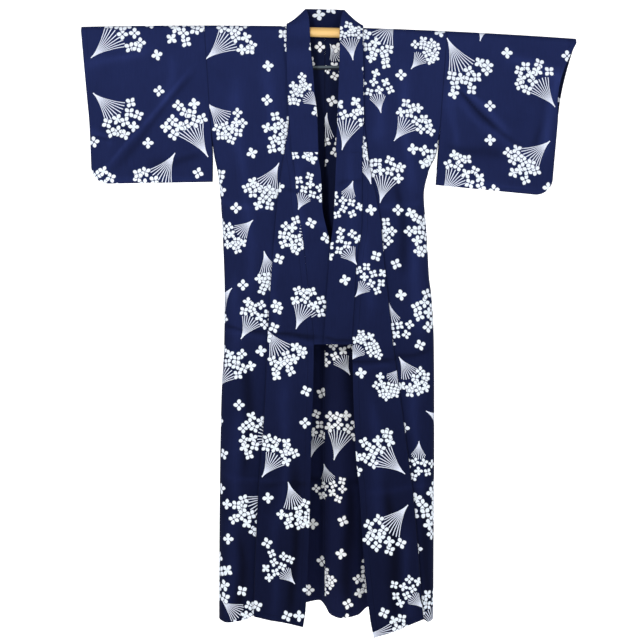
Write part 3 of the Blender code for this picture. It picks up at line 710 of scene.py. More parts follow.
# The sprays as they show in the picture, in pixels: x and y of the middle of a spray's florets,
# x and y of its stems' tip, its kind, and 1 as KINDS has the kind or -1 mirrored.
SPRAYS = {
    "sleeve_right": (
        (124, 28, 91, 58, 3, -1), (185, 29, 178, -16, 1, 1), (124, 121, 93, 93, 0, 1),
        (184, 117, 208, 157, 1, 1), (155, 187, 175, 153, 3, -1), (103, 184, 82, 216, 0, -1),
    ),
    "body_right": (
        (291, 34, 326, 30, 2, 1), (237, 32, 206, 59, 3, -1), (231, 128, 207, 103, 0, 1),
        (278, 131, 316, 141, 1, 1), (214, 191, 178, 192, 2, 1), (262, 195, 279, 163, 1, -1),
        (232, 240, 253, 220, 2, 1), (272, 283, 264, 251, 1, 1), (211, 312, 232, 288, 0, 1),
        (257, 311, 241, 339, 2, 1), (234, 362, 214, 388, 3, 1), (251, 430, 286, 441, 2, -1),
        (244, 514, 277, 492, 3, 1), (217, 572, 184, 560, 1, -1), (247, 620, 221, 600, 3, 1),
    ),
    "okumi_right": (
        (292, 236, 326, 232, 0, -1), (308, 298, 296, 329, 2, 1), (286, 361, 267, 329, 3, 1),
        (282, 449, 262, 477, 2, -1), (298, 516, 288, 482, 0, -1), (279, 567, 295, 584, 4, 1),
        (263, 316, 241, 339, 4, 1),
    ),
    "over_collar": ((299, 90, 320, 107, 3, 1), (348, 31, 353, 60, 2, -1), (352, 111, 342, 150, 2, -1)),
    "collar": (
        (303, 149, 290, 116, 2, 1), (308, 188, 298, 210, 4, -1), (310, 299, 298, 330, 2, 1),
        (345, 204, 353, 181, 4, 1), (342, 243, 357, 265, 4, 1),
    ),
    "back_right": ((318, 428, 311, 457, 4, 1), (331, 488, 324, 464, 4, 1)),
    "back_left": (
        (341, 66, 330, 44, 4, 1), (321, 147, 327, 113, 4, 1), (335, 350, 350, 375, 4, 1),
        (343, 423, 334, 460, 2, -1), (331, 488, 324, 464, 4, 1), (323, 581, 296, 566, 0, 1),
        (367, 577, 402, 582, 3, 1),
    ),
    "okumi_left": (
        (361, 148, 371, 184, 1, 1), (369, 281, 355, 297, 4, 1), (366, 341, 350, 361, 2, 1),
        (386, 388, 399, 366, 0, -1), (374, 449, 405, 474, 3, -1), (381, 537, 408, 505, 0, 1),
        (405, 590, 423, 606, 4, -1), (401, 636, 366, 634, 1, 1),
    ),
    "body_left": (
        (376, 49, 396, 18, 3, -1), (375, 86, 381, 113, 4, 1), (428, 49, 411, 69, 0, 1),
        (414, 114, 394, 141, 2, 1), (388, 168, 380, 203, 2, -1), (434, 163, 470, 160, 1, 1),
        (381, 236, 358, 212, 0, 1), (420, 231, 454, 238, 3, 1), (430, 312, 462, 302, 0, 1),
        (394, 331, 389, 303, 4, 1), (416, 384, 399, 357, 0, -1), (454, 424, 426, 411, 1, 1),
        (418, 466, 419, 441, 4, 1), (424, 502, 458, 512, 1, -1), (430, 601, 440, 630, 2, 1),
    ),
    "sleeve_left": (
        (467, 78, 447, 38, 3, 1), (531, 75, 555, 107, 0, -1), (463, 166, 440, 197, 2, 1),
        (521, 166, 550, 141, 1, -1), (497, 222, 520, 250, 2, 1), (488, 6, 480, 41, 1, 1),
    ),
}
# The florets that stand alone: x and y in pixels, and their turn in degrees to the left.
FLORETS = {
    "sleeve_right": ((157, 55, 15), (159, 91, -8), (148, 143, 0), (198, 173, -15), (94, 142, 10)),
    "body_right": (
        (268, 66, 8), (267, 100, -8), (252, 153, 20), (236, 208, 0), (243, 285, 0), (261, 351, 10),
        (239, 405, 0), (218, 420, 5), (223, 454, 20), (220, 488, 10), (228, 539, 0), (242, 591, 35),
    ),
    "okumi_right": (
        (279, 187, 10), (279, 259, 25), (276, 305, 20), (306, 391, 20), (305, 423, -5), (268, 498, 5),
        (267, 543, 15), (257, 606, 20), (308, 590, 0), (287, 616, 20), (299, 616, 0),
    ),
    "over_collar": ((319, 15, 10), (331, 9, 35), (317, 112, 20)),
    "collar": ((312, 159, 10), (311, 223, 10), (345, 280, 15), (326, 238, 10)),
    "back_right": (
        (320, 47, 0), (310, 62, 30), (322, 393, 20), (313, 524, 0), (322, 561, 5), (309, 590, 0),
    ),
    "back_left": (
        (337, 48, 20), (332, 101, 15), (343, 521, 20), (341, 554, 10), (348, 604, 15), (347, 619, 0),
    ),
    "okumi_left": ((371, 210, 10), (376, 256, 30), (361, 373, 10), (357, 471, 20), (384, 613, 20)),
    "body_left": (
        (440, 32, 20), (401, 75, 5), (413, 149, 10), (398, 210, 3), (396, 264, -20), (401, 295, 10),
        (420, 345, 20), (404, 428, 0), (417, 549, 0), (432, 534, 0),
    ),
    "sleeve_left": (
        (507, 53, 5), (490, 106, 0), (490, 140, 5), (567, 56, 0), (494, 190, 10), (548, 188, 0),
    ),
}
# The florets of each kind of spray: degrees to the left of its axis, and the distance from the
# stems' tip as a share of the spray's length. The later ones lie over the earlier ones.
KINDS = (
    (
        (28, 0.92), (16, 1.18), (13, 1.0), (-5, 0.84), (-23, 0.80), (0, 1.04), (2, 1.26), (-14, 1.08),
        (-9, 1.27), (-23, 1.04),
    ),
    (
        (-1, 1.27), (-16, 1.2), (13, 1.1), (-3, 1.09), (-11, 0.98), (-23, 0.84), (24, 1.12), (3, 0.86),
        (26, 0.89), (13, 0.91), (-9, 0.78),
    ),
    (
        (18, 1.16), (-38, 1.12), (22, 0.86), (6, 0.93), (-16, 1.14), (-11, 0.90), (-28, 0.86), (0, 1.22),
        (-27, 1.14), (9, 1.10),
    ),
    (
        (27, 0.90), (25, 1.15), (6, 0.88), (12, 1.10), (-21, 0.86), (-8, 0.96), (-17, 1.10), (-1, 1.28),
        (-20, 1.28), (-1, 1.07), (29, 1.08),
    ),
    (
        (-32, 0.92), (-8, 0.84), (15, 0.86), (33, 1.02), (-21, 1.14), (1, 1.14), (19, 1.24), (-6, 1.42),
    ),
)
SPRAY_LENGTH = 118.0
SPRAY_SCALES = (0.58, 1.12)  # the least and the most of a spray's own length, as shares of it
SPRAY_TURN_JITTER = 0.8  # degrees
SPRAY_REACH_JITTER = 0.012
FLORET_RADIUS = 14.8
CLUSTER_RADIUS = 14.9
# A spray's cluster, its florets and its fan of stems shrink with these powers of its share.
CLUSTER_SHRINK = 0.95
RADIUS_SHRINK = 0.45
FAN_SHRINK = 0.5
FAN_SLANT = 0.62  # half the width of a spray's own faces, as a share of the way along it
FAN_OVER = 0.15  # how far past its middle a spray's own faces end, in SPRAY_LENGTHs
FLORETS_NEAR = 4  # how many florets may reach one face
HEART_STEP = 0.618  # from one floret to the next, modulo 1: how faint its pale heart is
FACES_AT_ONCE = 4000
FAR_AWAY = 1e4
# How the print goes on where the picture doesn't reach, in mm.
OPEN_MARGIN = 14.0  # how far past the fronts' edges the inside of the back may show
CLUSTER_REACH = 62.0  # from a cluster's middle to its outermost petals
CUFF_BARE = 28.0
FILL_MARGIN = 40.0
SPRAYS_APART = 126.0
SPRAY_GAP = 35.0  # between one spray's florets and stems and another's
STEM_CLEAR = 8.0  # between a spray's stems and what shows
STEM_SHARES = (0.0, 0.3, 0.6)  # where along a stem its gaps are measured
PETAL_CLEAR = 3.0  # between a floret's petals and what shows
SINGLES_APART = 80.0
SINGLE_GAP = 40.0
FILL_TRIES = 5000
FILL_KINDS = 4  # how many of KINDS are scattered
SHOWN_STEP = 3  # every third point of what shows is enough to keep clear of it
SIDE_MARGIN = 8.0  # how far past its rounding a side's print is measured along the cloth


def locate(grid, x, y):
    """The print's coordinates of the place on the cloth that shows at a pixel."""
    shown = in_picture(grid.points)
    off = np.hypot(shown[..., 0] - x, shown[..., 1] - y)
    off[~grid.seen] = np.inf
    i, j = np.unravel_index(np.argmin(off), off.shape)
    i0, i1 = max(i - 1, 0), min(i + 1, off.shape[0] - 1)
    j0, j1 = max(j - 1, 0), min(j + 1, off.shape[1] - 1)
    jacobian = np.stack([shown[i1, j] - shown[i0, j], shown[i, j1] - shown[i, j0]], 1)
    steps = np.linalg.lstsq(jacobian, np.array([x, y]) - shown[i, j], rcond=None)[0]
    flat = np.stack([grid.s, grid.t], -1)
    return flat[i, j] + steps[0] * (flat[i1, j] - flat[i0, j]) + steps[1] * (flat[i, j1] - flat[i, j0])


# A placed spray or floret: its tip or centre on the cloth in mm, its heading, kind and mirror.
Placed = namedtuple("Placed", "at heading kind mirror scale")


def placed_from_picture(name, grid):
    sprays, florets = [], []
    for x, y, tip_x, tip_y, kind, side in SPRAYS.get(name, ()):
        tip = locate(grid, tip_x, tip_y)
        way = locate(grid, x, y) - tip
        scale = min(max(np.hypot(*way) / SPRAY_LENGTH, SPRAY_SCALES[0]), SPRAY_SCALES[1])
        sprays.append(Placed(tip, np.arctan2(way[1], way[0]), kind, side, scale))
    for x, y, turn in FLORETS.get(name, ()):
        florets.append(Placed(locate(grid, x, y), radians(turn), 0, 1, 1.0))
    return sprays, florets


def spray_middle(spray):
    return spray.at + SPRAY_LENGTH * spray.scale * np.array([cos(spray.heading), sin(spray.heading)])


def spray_points(spray):
    """The middles of a spray's florets, and points along its stems."""
    centres = all_florets([spray], [], 0)[:, :2]
    stems = np.concatenate([spray.at + share * (centres - spray.at) for share in STEM_SHARES])
    return centres, stems


def gap(points, others):
    """The least distance between two sets of points."""
    if not len(others):
        return np.inf
    return np.sqrt(((points[:, None] - others[None]) ** 2).sum(-1).min())


def fill_hidden(grid, sprays, florets, seed, bare_from):
    """Scatters more sprays and florets where the picture doesn't reach, as evenly as they show.

    A sleeve's cuff is left plain: nothing goes further out than bare_from.
    """
    if grid.seen.all():
        return
    draw = np.random.default_rng(seed)
    flat = np.stack([grid.s, grid.t], -1)
    low, high = flat[~grid.seen].min(0) - FILL_MARGIN, flat[~grid.seen].max(0) + FILL_MARGIN
    shown = flat[grid.seen][::SHOWN_STEP]
    middles = np.array([spray_middle(spray) for spray in sprays]).reshape(-1, 2)
    singles = np.array([floret.at for floret in florets]).reshape(-1, 2)
    taken = np.concatenate([np.zeros((0, 2))] + [np.concatenate(spray_points(spray)) for spray in sprays])
    for _ in range(FILL_TRIES):
        at = low + draw.random(2) * (high - low)
        heading = draw.random() * 2 * pi
        kind, mirror = int(draw.integers(FILL_KINDS)), 1 - 2 * int(draw.integers(2))
        if gap(at[None], middles) < SPRAYS_APART or abs(at[0]) > bare_from - CLUSTER_REACH:
            continue
        tip = at - SPRAY_LENGTH * np.array([cos(heading), sin(heading)])
        spray = Placed(tip, heading, kind, mirror, 1.0)
        centres, stems = spray_points(spray)
        drawn = np.concatenate([centres, stems])
        if gap(drawn, taken) < SPRAY_GAP or gap(drawn, singles) < SPRAY_GAP:
            continue
        if gap(centres, shown) < CLUSTER_RADIUS + PETAL_CLEAR or gap(stems, shown) < STEM_CLEAR:
            continue
        sprays.append(spray)
        middles = np.vstack([middles, at])
        taken = np.concatenate([taken, drawn])
    for _ in range(FILL_TRIES):
        at = low + draw.random(2) * (high - low)
        turn = draw.random() * pi / 2
        if gap(at[None], taken) < SINGLE_GAP or gap(at[None], singles) < SINGLES_APART:
            continue
        if gap(at[None], shown) < FLORET_RADIUS + PETAL_CLEAR or abs(at[0]) > bare_from:
            continue
        florets.append(Placed(at, turn, 0, 1, 1.0))
        singles = np.vstack([singles, at])


def all_florets(sprays, florets, seed):
    """Every floret of a sheet: centre, turn and radius."""
    draw = np.random.default_rng(seed)
    rows = [(*floret.at, floret.heading, FLORET_RADIUS) for floret in florets]
    for spray in sprays:
        c, d = cos(spray.heading), sin(spray.heading)
        spread = spray.scale**CLUSTER_SHRINK
        radius = CLUSTER_RADIUS * spray.scale**RADIUS_SHRINK
        for angle, distance in KINDS[spray.kind]:
            jitter = draw.normal(0, 1, 2)
            off = radians(spray.mirror * angle + SPRAY_TURN_JITTER * jitter[0])
            reach = SPRAY_LENGTH * distance * (1 + SPRAY_REACH_JITTER * jitter[1])
            along = spread * (reach * cos(off) - SPRAY_LENGTH) + SPRAY_LENGTH * spray.scale
            aside = spread * reach * sin(off)
            x, y = spray.at + np.array([along * c - aside * d, along * d + aside * c])
            rows.append((x, y, draw.random() * pi / 2, radius))
    return np.array(rows, float).reshape(-1, 4)


def floret_layers(corners, table):
    """For each face's corners: where they are in each near floret, in its radii.

    The third coordinate is the same all over a floret. It makes its pale heart smaller or none.
    """
    middle = corners.mean(1)
    near = np.full((len(middle), FLORETS_NEAR), -1)
    for start in range(0, len(middle), FACES_AT_ONCE):
        part = middle[start:start + FACES_AT_ONCE]
        off = np.hypot(part[:, None, 0] - table[None, :, 0], part[:, None, 1] - table[None, :, 1])
        near[start:start + FACES_AT_ONCE] = np.sort(np.argsort(off, axis=1)[:, :FLORETS_NEAR], axis=1)
    for k in range(FLORETS_NEAR):
        x, y, turn, radius = table[near[:, k]].T[..., None]
        dx, dy = corners[..., 0] - x, corners[..., 1] - y
        c, s = np.cos(turn), np.sin(turn)
        faint = np.repeat((near[:, k, None] * HEART_STEP) % 1.0, corners.shape[1], 1)
        yield np.stack([(c * dx + s * dy) / radius, (-s * dx + c * dy) / radius, faint], -1)


def spray_layer(corners, sprays):
    """For each face's corners: where they are in the nearest spray.

    That is how far aside of its axis, in SPRAY_LENGTHs, how far along it, as a share of its own
    length, and how far past its middle, in SPRAY_LENGTHs.
    """
    tips = np.array([spray.at for spray in sprays])
    lengths = SPRAY_LENGTH * np.array([spray.scale for spray in sprays])
    headings = np.array([spray.heading for spray in sprays])
    ways = np.stack([np.cos(headings), np.sin(headings)], 1)
    off = corners.mean(1)[:, None, :] - tips[None]
    along = np.einsum("fsk,sk->fs", off, ways)
    aside = off[..., 0] * ways[None, :, 1] - off[..., 1] * ways[None, :, 0]
    slant = FAN_SLANT * (SPRAY_LENGTH / lengths) ** FAN_SHRINK
    outside = np.maximum(np.abs(aside) - slant * np.maximum(along, 0), 0) + np.maximum(-along, 0)
    outside += np.maximum(along - lengths + FAN_OVER * SPRAY_LENGTH, 0)
    nearest = np.argmin(outside, axis=1)
    off, way = corners - tips[nearest][:, None], ways[nearest][:, None]
    length = lengths[nearest][:, None]
    fan_length = SPRAY_LENGTH * (length / SPRAY_LENGTH) ** FAN_SHRINK
    along = (off * way).sum(-1)
    aside = off[..., 0] * way[..., 1] - off[..., 1] * way[..., 0]
    return np.stack([aside / fan_length, along / length, (along - length) / SPRAY_LENGTH], -1)


def shows_inside(grid, part):
    """Which of a body's points show through the open front, on the inside of the back."""
    x, drops = grid.points[..., 0], -grid.points[..., 2].mean(1)
    right, left = np.array([
        [half.front["collar" if drop < COLLAR_END else "edge"](drop) + OPEN_MARGIN for drop in drops]
        for half in HALVES
    ])[..., None]
    return (part == 2)[:, None] & (x > -right) & (x < left)


def printed_body(half, grid, part):
    """The sprays and florets of a body: its front's, and those on what shows of its back's inside."""
    front_seen = (part == 0)[:, None] & (np.arange(grid.s.shape[1]) < MAIN_COLUMNS)
    front = placed_from_picture(f"body_{half.name}", grid._replace(seen=front_seen))
    inside = placed_from_picture(f"back_{half.name}", grid._replace(seen=shows_inside(grid, part)))
    return front[0] + inside[0], front[1] + inside[1]


def measure_sides(grid, part, sign):
    """Measures the print's s along the cloth where it turns back towards the side seam."""
    layers = part != 1
    points = grid.points[layers]
    steps = np.linalg.norm(np.diff(points, axis=1), axis=2)
    straight = np.abs(np.diff(points[..., 0], axis=1))
    away = np.abs(points[:, :1, 0] - points[:, 1:, 0])
    extra = np.where(away < SIDE_ROUND + SIDE_MARGIN, steps - straight, 0)
    grid.s[layers, :-1] += sign * np.cumsum(extra[:, ::-1], axis=1)[:, ::-1]


# ---------------------------------------------------------------- meshes

# Each kind of cut piece: its wall in the scene, its finished size and area laid flat in metres,
# its random seed, and which borders of its grid are hemmed or sewn to a neighbour.
Cut = namedtuple("Cut", "wall flat area seed hems seams")

CUTS = {
    "body": Cut(
        CLOTH, (0.30, 3.15), 0.84, 11, ("first row", "last row"), ("first column", "last column"),
    ),
    "okumi": Cut(CLOTH, (0.16, 1.33), 0.135, 21, ("last row", "last column"), ("first column",)),
    "sleeve": Cut(
        CLOTH, (0.35, 0.86), 0.29, 31, ("last row",), ("first row", "first column", "last column"),
    ),
    "collar": Cut(COLLAR_WALL, (0.075, 1.96), 0.12, 41, (), ("first column",)),
    "over_collar": Cut(OVER_COLLAR_WALL, (0.15, 0.96), 0.125, 51, (), ()),
}
INSIDE_NECK = -2.6  # painted shade inside the neck: the navy there is darkened as much as in a trough this deep
CREASE_SHADING_FULL = 60.0  # how far below the start of the creases their painted highlight and shade reach full strength
ATTRIBUTES = {
    "FLOAT_VECTOR": ("vector", np.float32), "FLOAT": ("value", np.float32), "BOOLEAN": ("value", bool),
}


def add_object(name, data):
    made = bpy.data.objects.new(name, data)
    bpy.context.scene.collection.objects.link(made)
    return made


def add_attribute(mesh, name, kind, domain, values):
    key, number = ATTRIBUTES[kind]
    mesh.attributes.new(name, kind, domain).data.foreach_set(key, np.asarray(values, number).ravel())


def quads_of(rows, columns):
    """The faces between a grid's points, which are numbered row by row."""
    index = np.arange(rows * columns).reshape(rows, columns)
    return np.stack([index[:-1, :-1], index[1:, :-1], index[1:, 1:], index[:-1, 1:]], -1).reshape(-1, 4)


def shell(name, grid, cut, both_sides, sprays, table):
    """A wall of cloth on a grid: its right side, its wrong side and the rims between them.

    The right side is the one that faces the viewer a quarter of the way into the grid.
    """
    points = grid.points * MM
    rows, columns = grid.s.shape
    count = rows * columns
    i, j = rows // 4, columns // 4
    normals = grid_normals(points)
    if normals[i, j, 1] > 0:
        normals = -normals
    off = normals * (cut.wall * MM / 2)
    vertices = np.concatenate([(points + off).reshape(-1, 3), (points - off).reshape(-1, 3)])
    index = np.arange(count).reshape(rows, columns)
    loop = np.concatenate([index[0, :], index[1:, -1], index[-1, -2::-1], index[-2:0:-1, 0]])
    following = np.roll(loop, -1)
    quads = quads_of(rows, columns)
    rim = np.stack([loop, following, following + count, loop + count], -1)
    faces = np.concatenate([quads, quads[:, ::-1] + count, rim])
    turned = np.cross(points[i + 1, j] - points[i, j], points[i, j + 1] - points[i, j])
    if np.dot(turned, normals[i, j]) < 0:
        faces = faces[:, ::-1]
    mesh = bpy.data.meshes.new(name)
    mesh.from_pydata(vertices.tolist(), [], faces.tolist())
    corners = np.tile(np.column_stack([grid.s.ravel(), grid.t.ravel()]), (2, 1))[faces]
    for k, layer in enumerate(floret_layers(corners, table)):
        add_attribute(mesh, f"floret_{k}", "FLOAT_VECTOR", "CORNER", layer)
    add_attribute(mesh, "stem", "FLOAT_VECTOR", "CORNER", spray_layer(corners, sprays))
    cloth = mesh.uv_layers.new(name="cloth")
    cloth.data.foreach_set("uv", (corners * MM).astype(np.float32).ravel())
    for finish in both_sides:
        mesh.materials.append(finish)
    sides = np.repeat([0, 1, 0], [len(quads), len(quads), len(rim)])
    mesh.polygons.foreach_set("material_index", sides.astype(np.int32))
    mesh.shade_smooth()
    # the creases' heights, for the painted highlight on ridges and painted shade in troughs
    folds = piece_creases(name, grid).ravel()
    add_attribute(mesh, "folds", "FLOAT", "POINT", np.concatenate([folds, -folds]))
    add_attribute(mesh, "edges", "FLOAT_VECTOR", "POINT", np.tile(edge_places(cut, grid), (2, 1)))
    ends = np.zeros(len(mesh.edges) * 2, np.int32)
    mesh.edges.foreach_get("vertices", ends)
    ends = ends.reshape(-1, 2)
    on_rim = np.isin(ends % count, loop).all(1)
    same_side = (ends[:, 0] < count) == (ends[:, 1] < count)
    add_attribute(mesh, "sharp_edge", "BOOLEAN", "EDGE", on_rim & same_side)
    mesh.update()
    return add_object(f"{name}_cloth", mesh)


def from_borders(points):
    """How far each point is along the cloth from its grid's first and last row and column."""
    down = np.linalg.norm(np.diff(points, axis=0), axis=2)
    across = np.linalg.norm(np.diff(points, axis=1), axis=2)
    below = np.vstack([np.zeros((1, points.shape[1])), np.cumsum(down, axis=0)])
    beside = np.hstack([np.zeros((points.shape[0], 1)), np.cumsum(across, axis=1)])
    return {
        "first row": below, "last row": below[-1:] - below,
        "first column": beside, "last column": beside[:, -1:] - beside,
    }


def edge_places(cut, grid):
    """For each point: how far from a hem, how far along that hem, and how far from a seam, in mm."""
    off = from_borders(grid.points)
    hem, along = np.full(grid.s.shape, FAR_AWAY), grid.s.copy()
    for border in cut.hems:
        nearer = off[border] < hem
        hem = np.where(nearer, off[border], hem)
        along = np.where(nearer, grid.t if border.endswith("column") else grid.s, along)
    seam = np.full(grid.s.shape, FAR_AWAY)
    for border in cut.seams:
        seam = np.minimum(seam, off[border])
    return np.stack([hem, along, seam], -1).reshape(-1, 3)


def piece_creases(name, grid):
    """How far the creases lift each point of a piece, in mm: ridges above 0, troughs below."""
    at = x_and_drop(grid.points)
    start = below_rod(at[..., 1], CREASE_SHADING_FULL)
    if name.startswith("sleeve"):
        return start * creased(at, SLEEVE_CREASES[name.split("_")[1]])
    folds = start * creased(at, FRONT_CREASES)
    if name.startswith("body"):
        folds = np.where(grid.points[..., 1] < 0, folds, start * creased(at, BACK_CREASES))
    # painted shade on the inner side of the collar's neck, behind the rod
    if name == "over_collar":
        folds[:, OVER_COLLAR_INSIDE:][behind_rod(grid.points)[:, 0]] = INSIDE_NECK
    return folds


# ---------------------------------------------------------------- nodes


def feed(socket, value):
    """Links a signal to an input, or sets the input to a plain value."""
    if isinstance(value, Signal):
        socket.id_data.links.new(value.socket, socket)
    else:
        socket.default_value = value


def add_node(tree, kind, inputs=(), output=0, **settings):
    """Adds a node, feeds its inputs by their place or name, and returns one of its outputs."""
    node = tree.nodes.new(kind)
    for key, value in settings.items():
        setattr(node, key, value)
    for slot, value in inputs.items() if isinstance(inputs, dict) else enumerate(inputs):
        feed(node.inputs[slot], value)
    return Signal(node.outputs[output])


class Signal:
    """A node's output that can be reckoned with: each operation adds a node to its tree."""

    def __init__(self, socket):
        self.socket = socket

    def math(self, operation, *others):
        return add_node(self.socket.id_data, "ShaderNodeMath", (self, *others), operation=operation)

    __abs__ = partialmethod(math, "ABSOLUTE")
    __add__ = partialmethod(math, "ADD")
    __sub__ = partialmethod(math, "SUBTRACT")
    __mul__ = partialmethod(math, "MULTIPLY")
    __truediv__ = partialmethod(math, "DIVIDE")
    __pow__ = partialmethod(math, "POWER")
    __lt__ = partialmethod(math, "LESS_THAN")
    __gt__ = partialmethod(math, "GREATER_THAN")
    larger = partialmethod(math, "MAXIMUM")
    smaller = partialmethod(math, "MINIMUM")
    folded = partialmethod(math, "PINGPONG")
    ramp = partialmethod(math, "MULTIPLY_ADD")  # ramp(slope, start)

    def clamped(self):
        """The same value, kept from 0 to 1."""
        self.socket.node.use_clamp = True
        return self

    def vector(self, operation, *others, output="Vector"):
        inputs = (self, *others)
        return add_node(self.socket.id_data, "ShaderNodeVectorMath", inputs, output, operation=operation)

    def scaled(self, share):
        inputs = {"Vector": self, "Scale": share}
        return add_node(self.socket.id_data, "ShaderNodeVectorMath", inputs, operation="SCALE")

    def all(self):
        """Every output of the same node."""
        return [Signal(socket) for socket in self.socket.node.outputs]

    def parts(self):
        """The x, y and z of a vector."""
        return add_node(self.socket.id_data, "ShaderNodeSeparateXYZ", (self,)).all()


def mix(share, a, b):
    inputs = {"Factor": share, "A": a, "B": b}
    return add_node(share.socket.id_data, "ShaderNodeMix", inputs, "Result", data_type="RGBA")


def noise(at, scale, detail, output="Fac", **more):
    inputs = {"Vector": at, "Scale": scale, "Detail": detail, **more}
    return add_node(at.socket.id_data, "ShaderNodeTexNoise", inputs, output)


def bump(rise, strength, distance):
    inputs = {"Height": rise, "Strength": strength, "Distance": distance}
    return add_node(rise.socket.id_data, "ShaderNodeBump", inputs)


def stored(tree, name, output):
    return add_node(tree, "ShaderNodeAttribute", output=output, attribute_name=name)


def object_place(tree):
    return add_node(tree, "ShaderNodeTexCoord", output="Object")


def new_group(name, inputs, outputs):
    """A node group whose inputs are vectors and whose outputs are plain numbers."""
    tree = bpy.data.node_groups.new(name, "ShaderNodeTree")
    for title in inputs:
        tree.interface.new_socket(title, in_out="INPUT", socket_type="NodeSocketVector")
    for title in outputs:
        tree.interface.new_socket(title, in_out="OUTPUT", socket_type="NodeSocketFloat")
    return tree


def end_group(tree, *values):
    sink = tree.nodes.new("NodeGroupOutput")
    for socket, value in zip(sink.inputs, values):
        feed(socket, value)
    return tree


def new_material(name):
    made = bpy.data.materials.new(name)
    made.use_nodes = True
    return made, made.node_tree


def set_surface(tree, **inputs):
    """Feeds the surface's inputs, where Base_Color stands for the input Base Color."""
    for slot, value in inputs.items():
        feed(tree.nodes["Principled BSDF"].inputs[slot.replace("_", " ")], value)


# ---------------------------------------------------------------- the print, drawn by the material

PETAL_MIDDLE = 0.575
PETAL_HALF_LENGTH = 0.43
PETAL_HALF_WIDTH = 0.35
PETAL_POINT = -0.10
PETAL_ROUND = 1.68  # 2 is an ellipse, and less makes the petal's tip more pointed
HEART = 0.33  # radius of the pale dot in a floret's middle
HEART_REACH = 0.34
HEART_SOFT = 0.32
EDGE_SOFT = 0.06
OVERLAP_LINE = 0.075
STEMS_APART = 0.25  # as a share of the fan's half width
STEM_HALF = 0.0043
STEM_GROWTH = 0.0092  # how much wider a stem is at the florets
STEM_SOFT = 0.006
STEM_END = -0.17  # where the stems end, from the middle of the florets
STEM_END_BOW = -0.09  # and how much sooner at the fan's sides
FAN_WIDTH = 0.52
FAN_POWER = 1.6
FAN_TIP = 0.010
WOBBLE_SCALE = 170.0  # how fine the unevenness of the dye's edges is
FLORET_WOBBLE = 0.16
STEM_WOBBLE = 0.012


def floret_group():
    """A four-petalled floret of radius 1: below 0 inside its petals, above 0 outside."""
    tree = new_group("floret", ("At",), ("Outside", "From middle"))
    at = add_node(tree, "NodeGroupInput")
    x, y, _ = at.vector("ABSOLUTE").parts()
    far = (x.larger(y) - PETAL_MIDDLE) * (1 / PETAL_HALF_LENGTH)
    wide = x.smaller(y) * (1 / PETAL_HALF_WIDTH) * far.ramp(PETAL_POINT, 1.0)
    size = (abs(far) ** PETAL_ROUND + abs(wide) ** PETAL_ROUND) ** (1 / PETAL_ROUND)
    petals = (size - 1.0) * PETAL_HALF_WIDTH
    middle = at.vector("LENGTH", output="Value")
    return end_group(tree, petals.smaller(middle - HEART), middle)


def print_group(floret):
    """How much undyed white there is: the florets, the stems behind them, and the hearts' tint."""
    tree = new_group("print", (), ("Florets", "Stems", "Hearts"))
    cloth = add_node(tree, "ShaderNodeUVMap", uv_map="cloth")
    wobble = noise(cloth, WOBBLE_SCALE, 2.0, output="Color").vector("SUBTRACT", (0.5, 0.5, 0.5))
    drift = wobble.scaled(FLORET_WOBBLE)
    white, gaps, hearts = None, None, None
    for k in range(FLORETS_NEAR):
        at = stored(tree, f"floret_{k}", "Vector").vector("ADD", drift)
        outside, middle = add_node(tree, "ShaderNodeGroup", (at,), node_tree=floret).all()
        inside = outside.ramp(-1 / EDGE_SOFT, 0.5).clamped()
        beyond = outside.ramp(1 / EDGE_SOFT, 0.5 - OVERLAP_LINE / EDGE_SOFT).clamped()
        heart = middle.ramp(-1 / HEART_SOFT, HEART_REACH / HEART_SOFT).clamped()
        white = (white * beyond).larger(inside) if k else inside
        gaps = gaps.smaller(beyond) if k else beyond
        hearts = (hearts * inside.ramp(-1.0, 1.0)).larger(heart) if k else heart
    place = stored(tree, "stem", "Vector").vector("ADD", wobble.scaled(STEM_WOBBLE))
    aside, along, past = place.parts()
    fan = (along.larger(0.0) ** FAN_POWER).ramp(FAN_WIDTH, FAN_TIP)
    share = aside / fan
    off = share.folded(STEMS_APART / 2) * fan
    thick = along.ramp(STEM_GROWTH, STEM_HALF + STEM_SOFT / 2)
    line = ((thick - off) * (1 / STEM_SOFT)).clamped()
    end = (share * share).ramp(STEM_END_BOW, STEM_END)
    stems = line * (abs(share) < 1 + STEMS_APART / 3) * (along > 0.0) * (past < end)
    return end_group(tree, white, stems * gaps, hearts)


# ---------------------------------------------------------------- materials

# The first navy carries a painted sheen at the shoulders; the second is the navy lower down.
Dye = namedtuple("Dye", "navy deep_navy white stem_white heart")

RIGHT_SIDE = Dye(
    navy=(0.0120, 0.0192, 0.0790, 1.0), deep_navy=(0.0040, 0.0062, 0.0265, 1.0),
    white=(0.79, 0.85, 0.94, 1.0), stem_white=(0.76, 0.81, 0.94, 1.0), heart=(0.56, 0.64, 0.57, 1.0),
)
# painted light: the wrong side's whites are brighter than the right side's, to lift the shade inside the
# robe
WRONG_SIDE = Dye(
    navy=(0.0060, 0.0095, 0.0350, 1.0), deep_navy=(0.0066, 0.0092, 0.0380, 1.0),
    white=(0.95, 0.97, 1.0, 1.0), stem_white=(0.82, 0.86, 0.96, 1.0), heart=(0.52, 0.60, 0.55, 1.0),
)
SHEEN_FADED_AT = -1.25  # metres down where the painted sheen on the navy has faded out: the navy is painted lighter towards the shoulders
THREAD = 0.00075  # the weave's pitch in metres
# In mm on the cloth:
HEM_WIDTH = 15.0
HEM_LINE = 1.4
STITCH_PITCH = 7.0
STITCH_LENGTH = 1.4
STITCH_WIDTH = 0.7
SEAM_REACH = 3.2
CREASE_SHADING = 0.17  # painted highlight and shade: how much lighter the navy is painted on a ridge 1 mm high, and darker in a trough
# the painted crease highlight and shade scale the navy by no less and no more than these
CREASE_SHADING_RANGE = (0.45, 1.7)
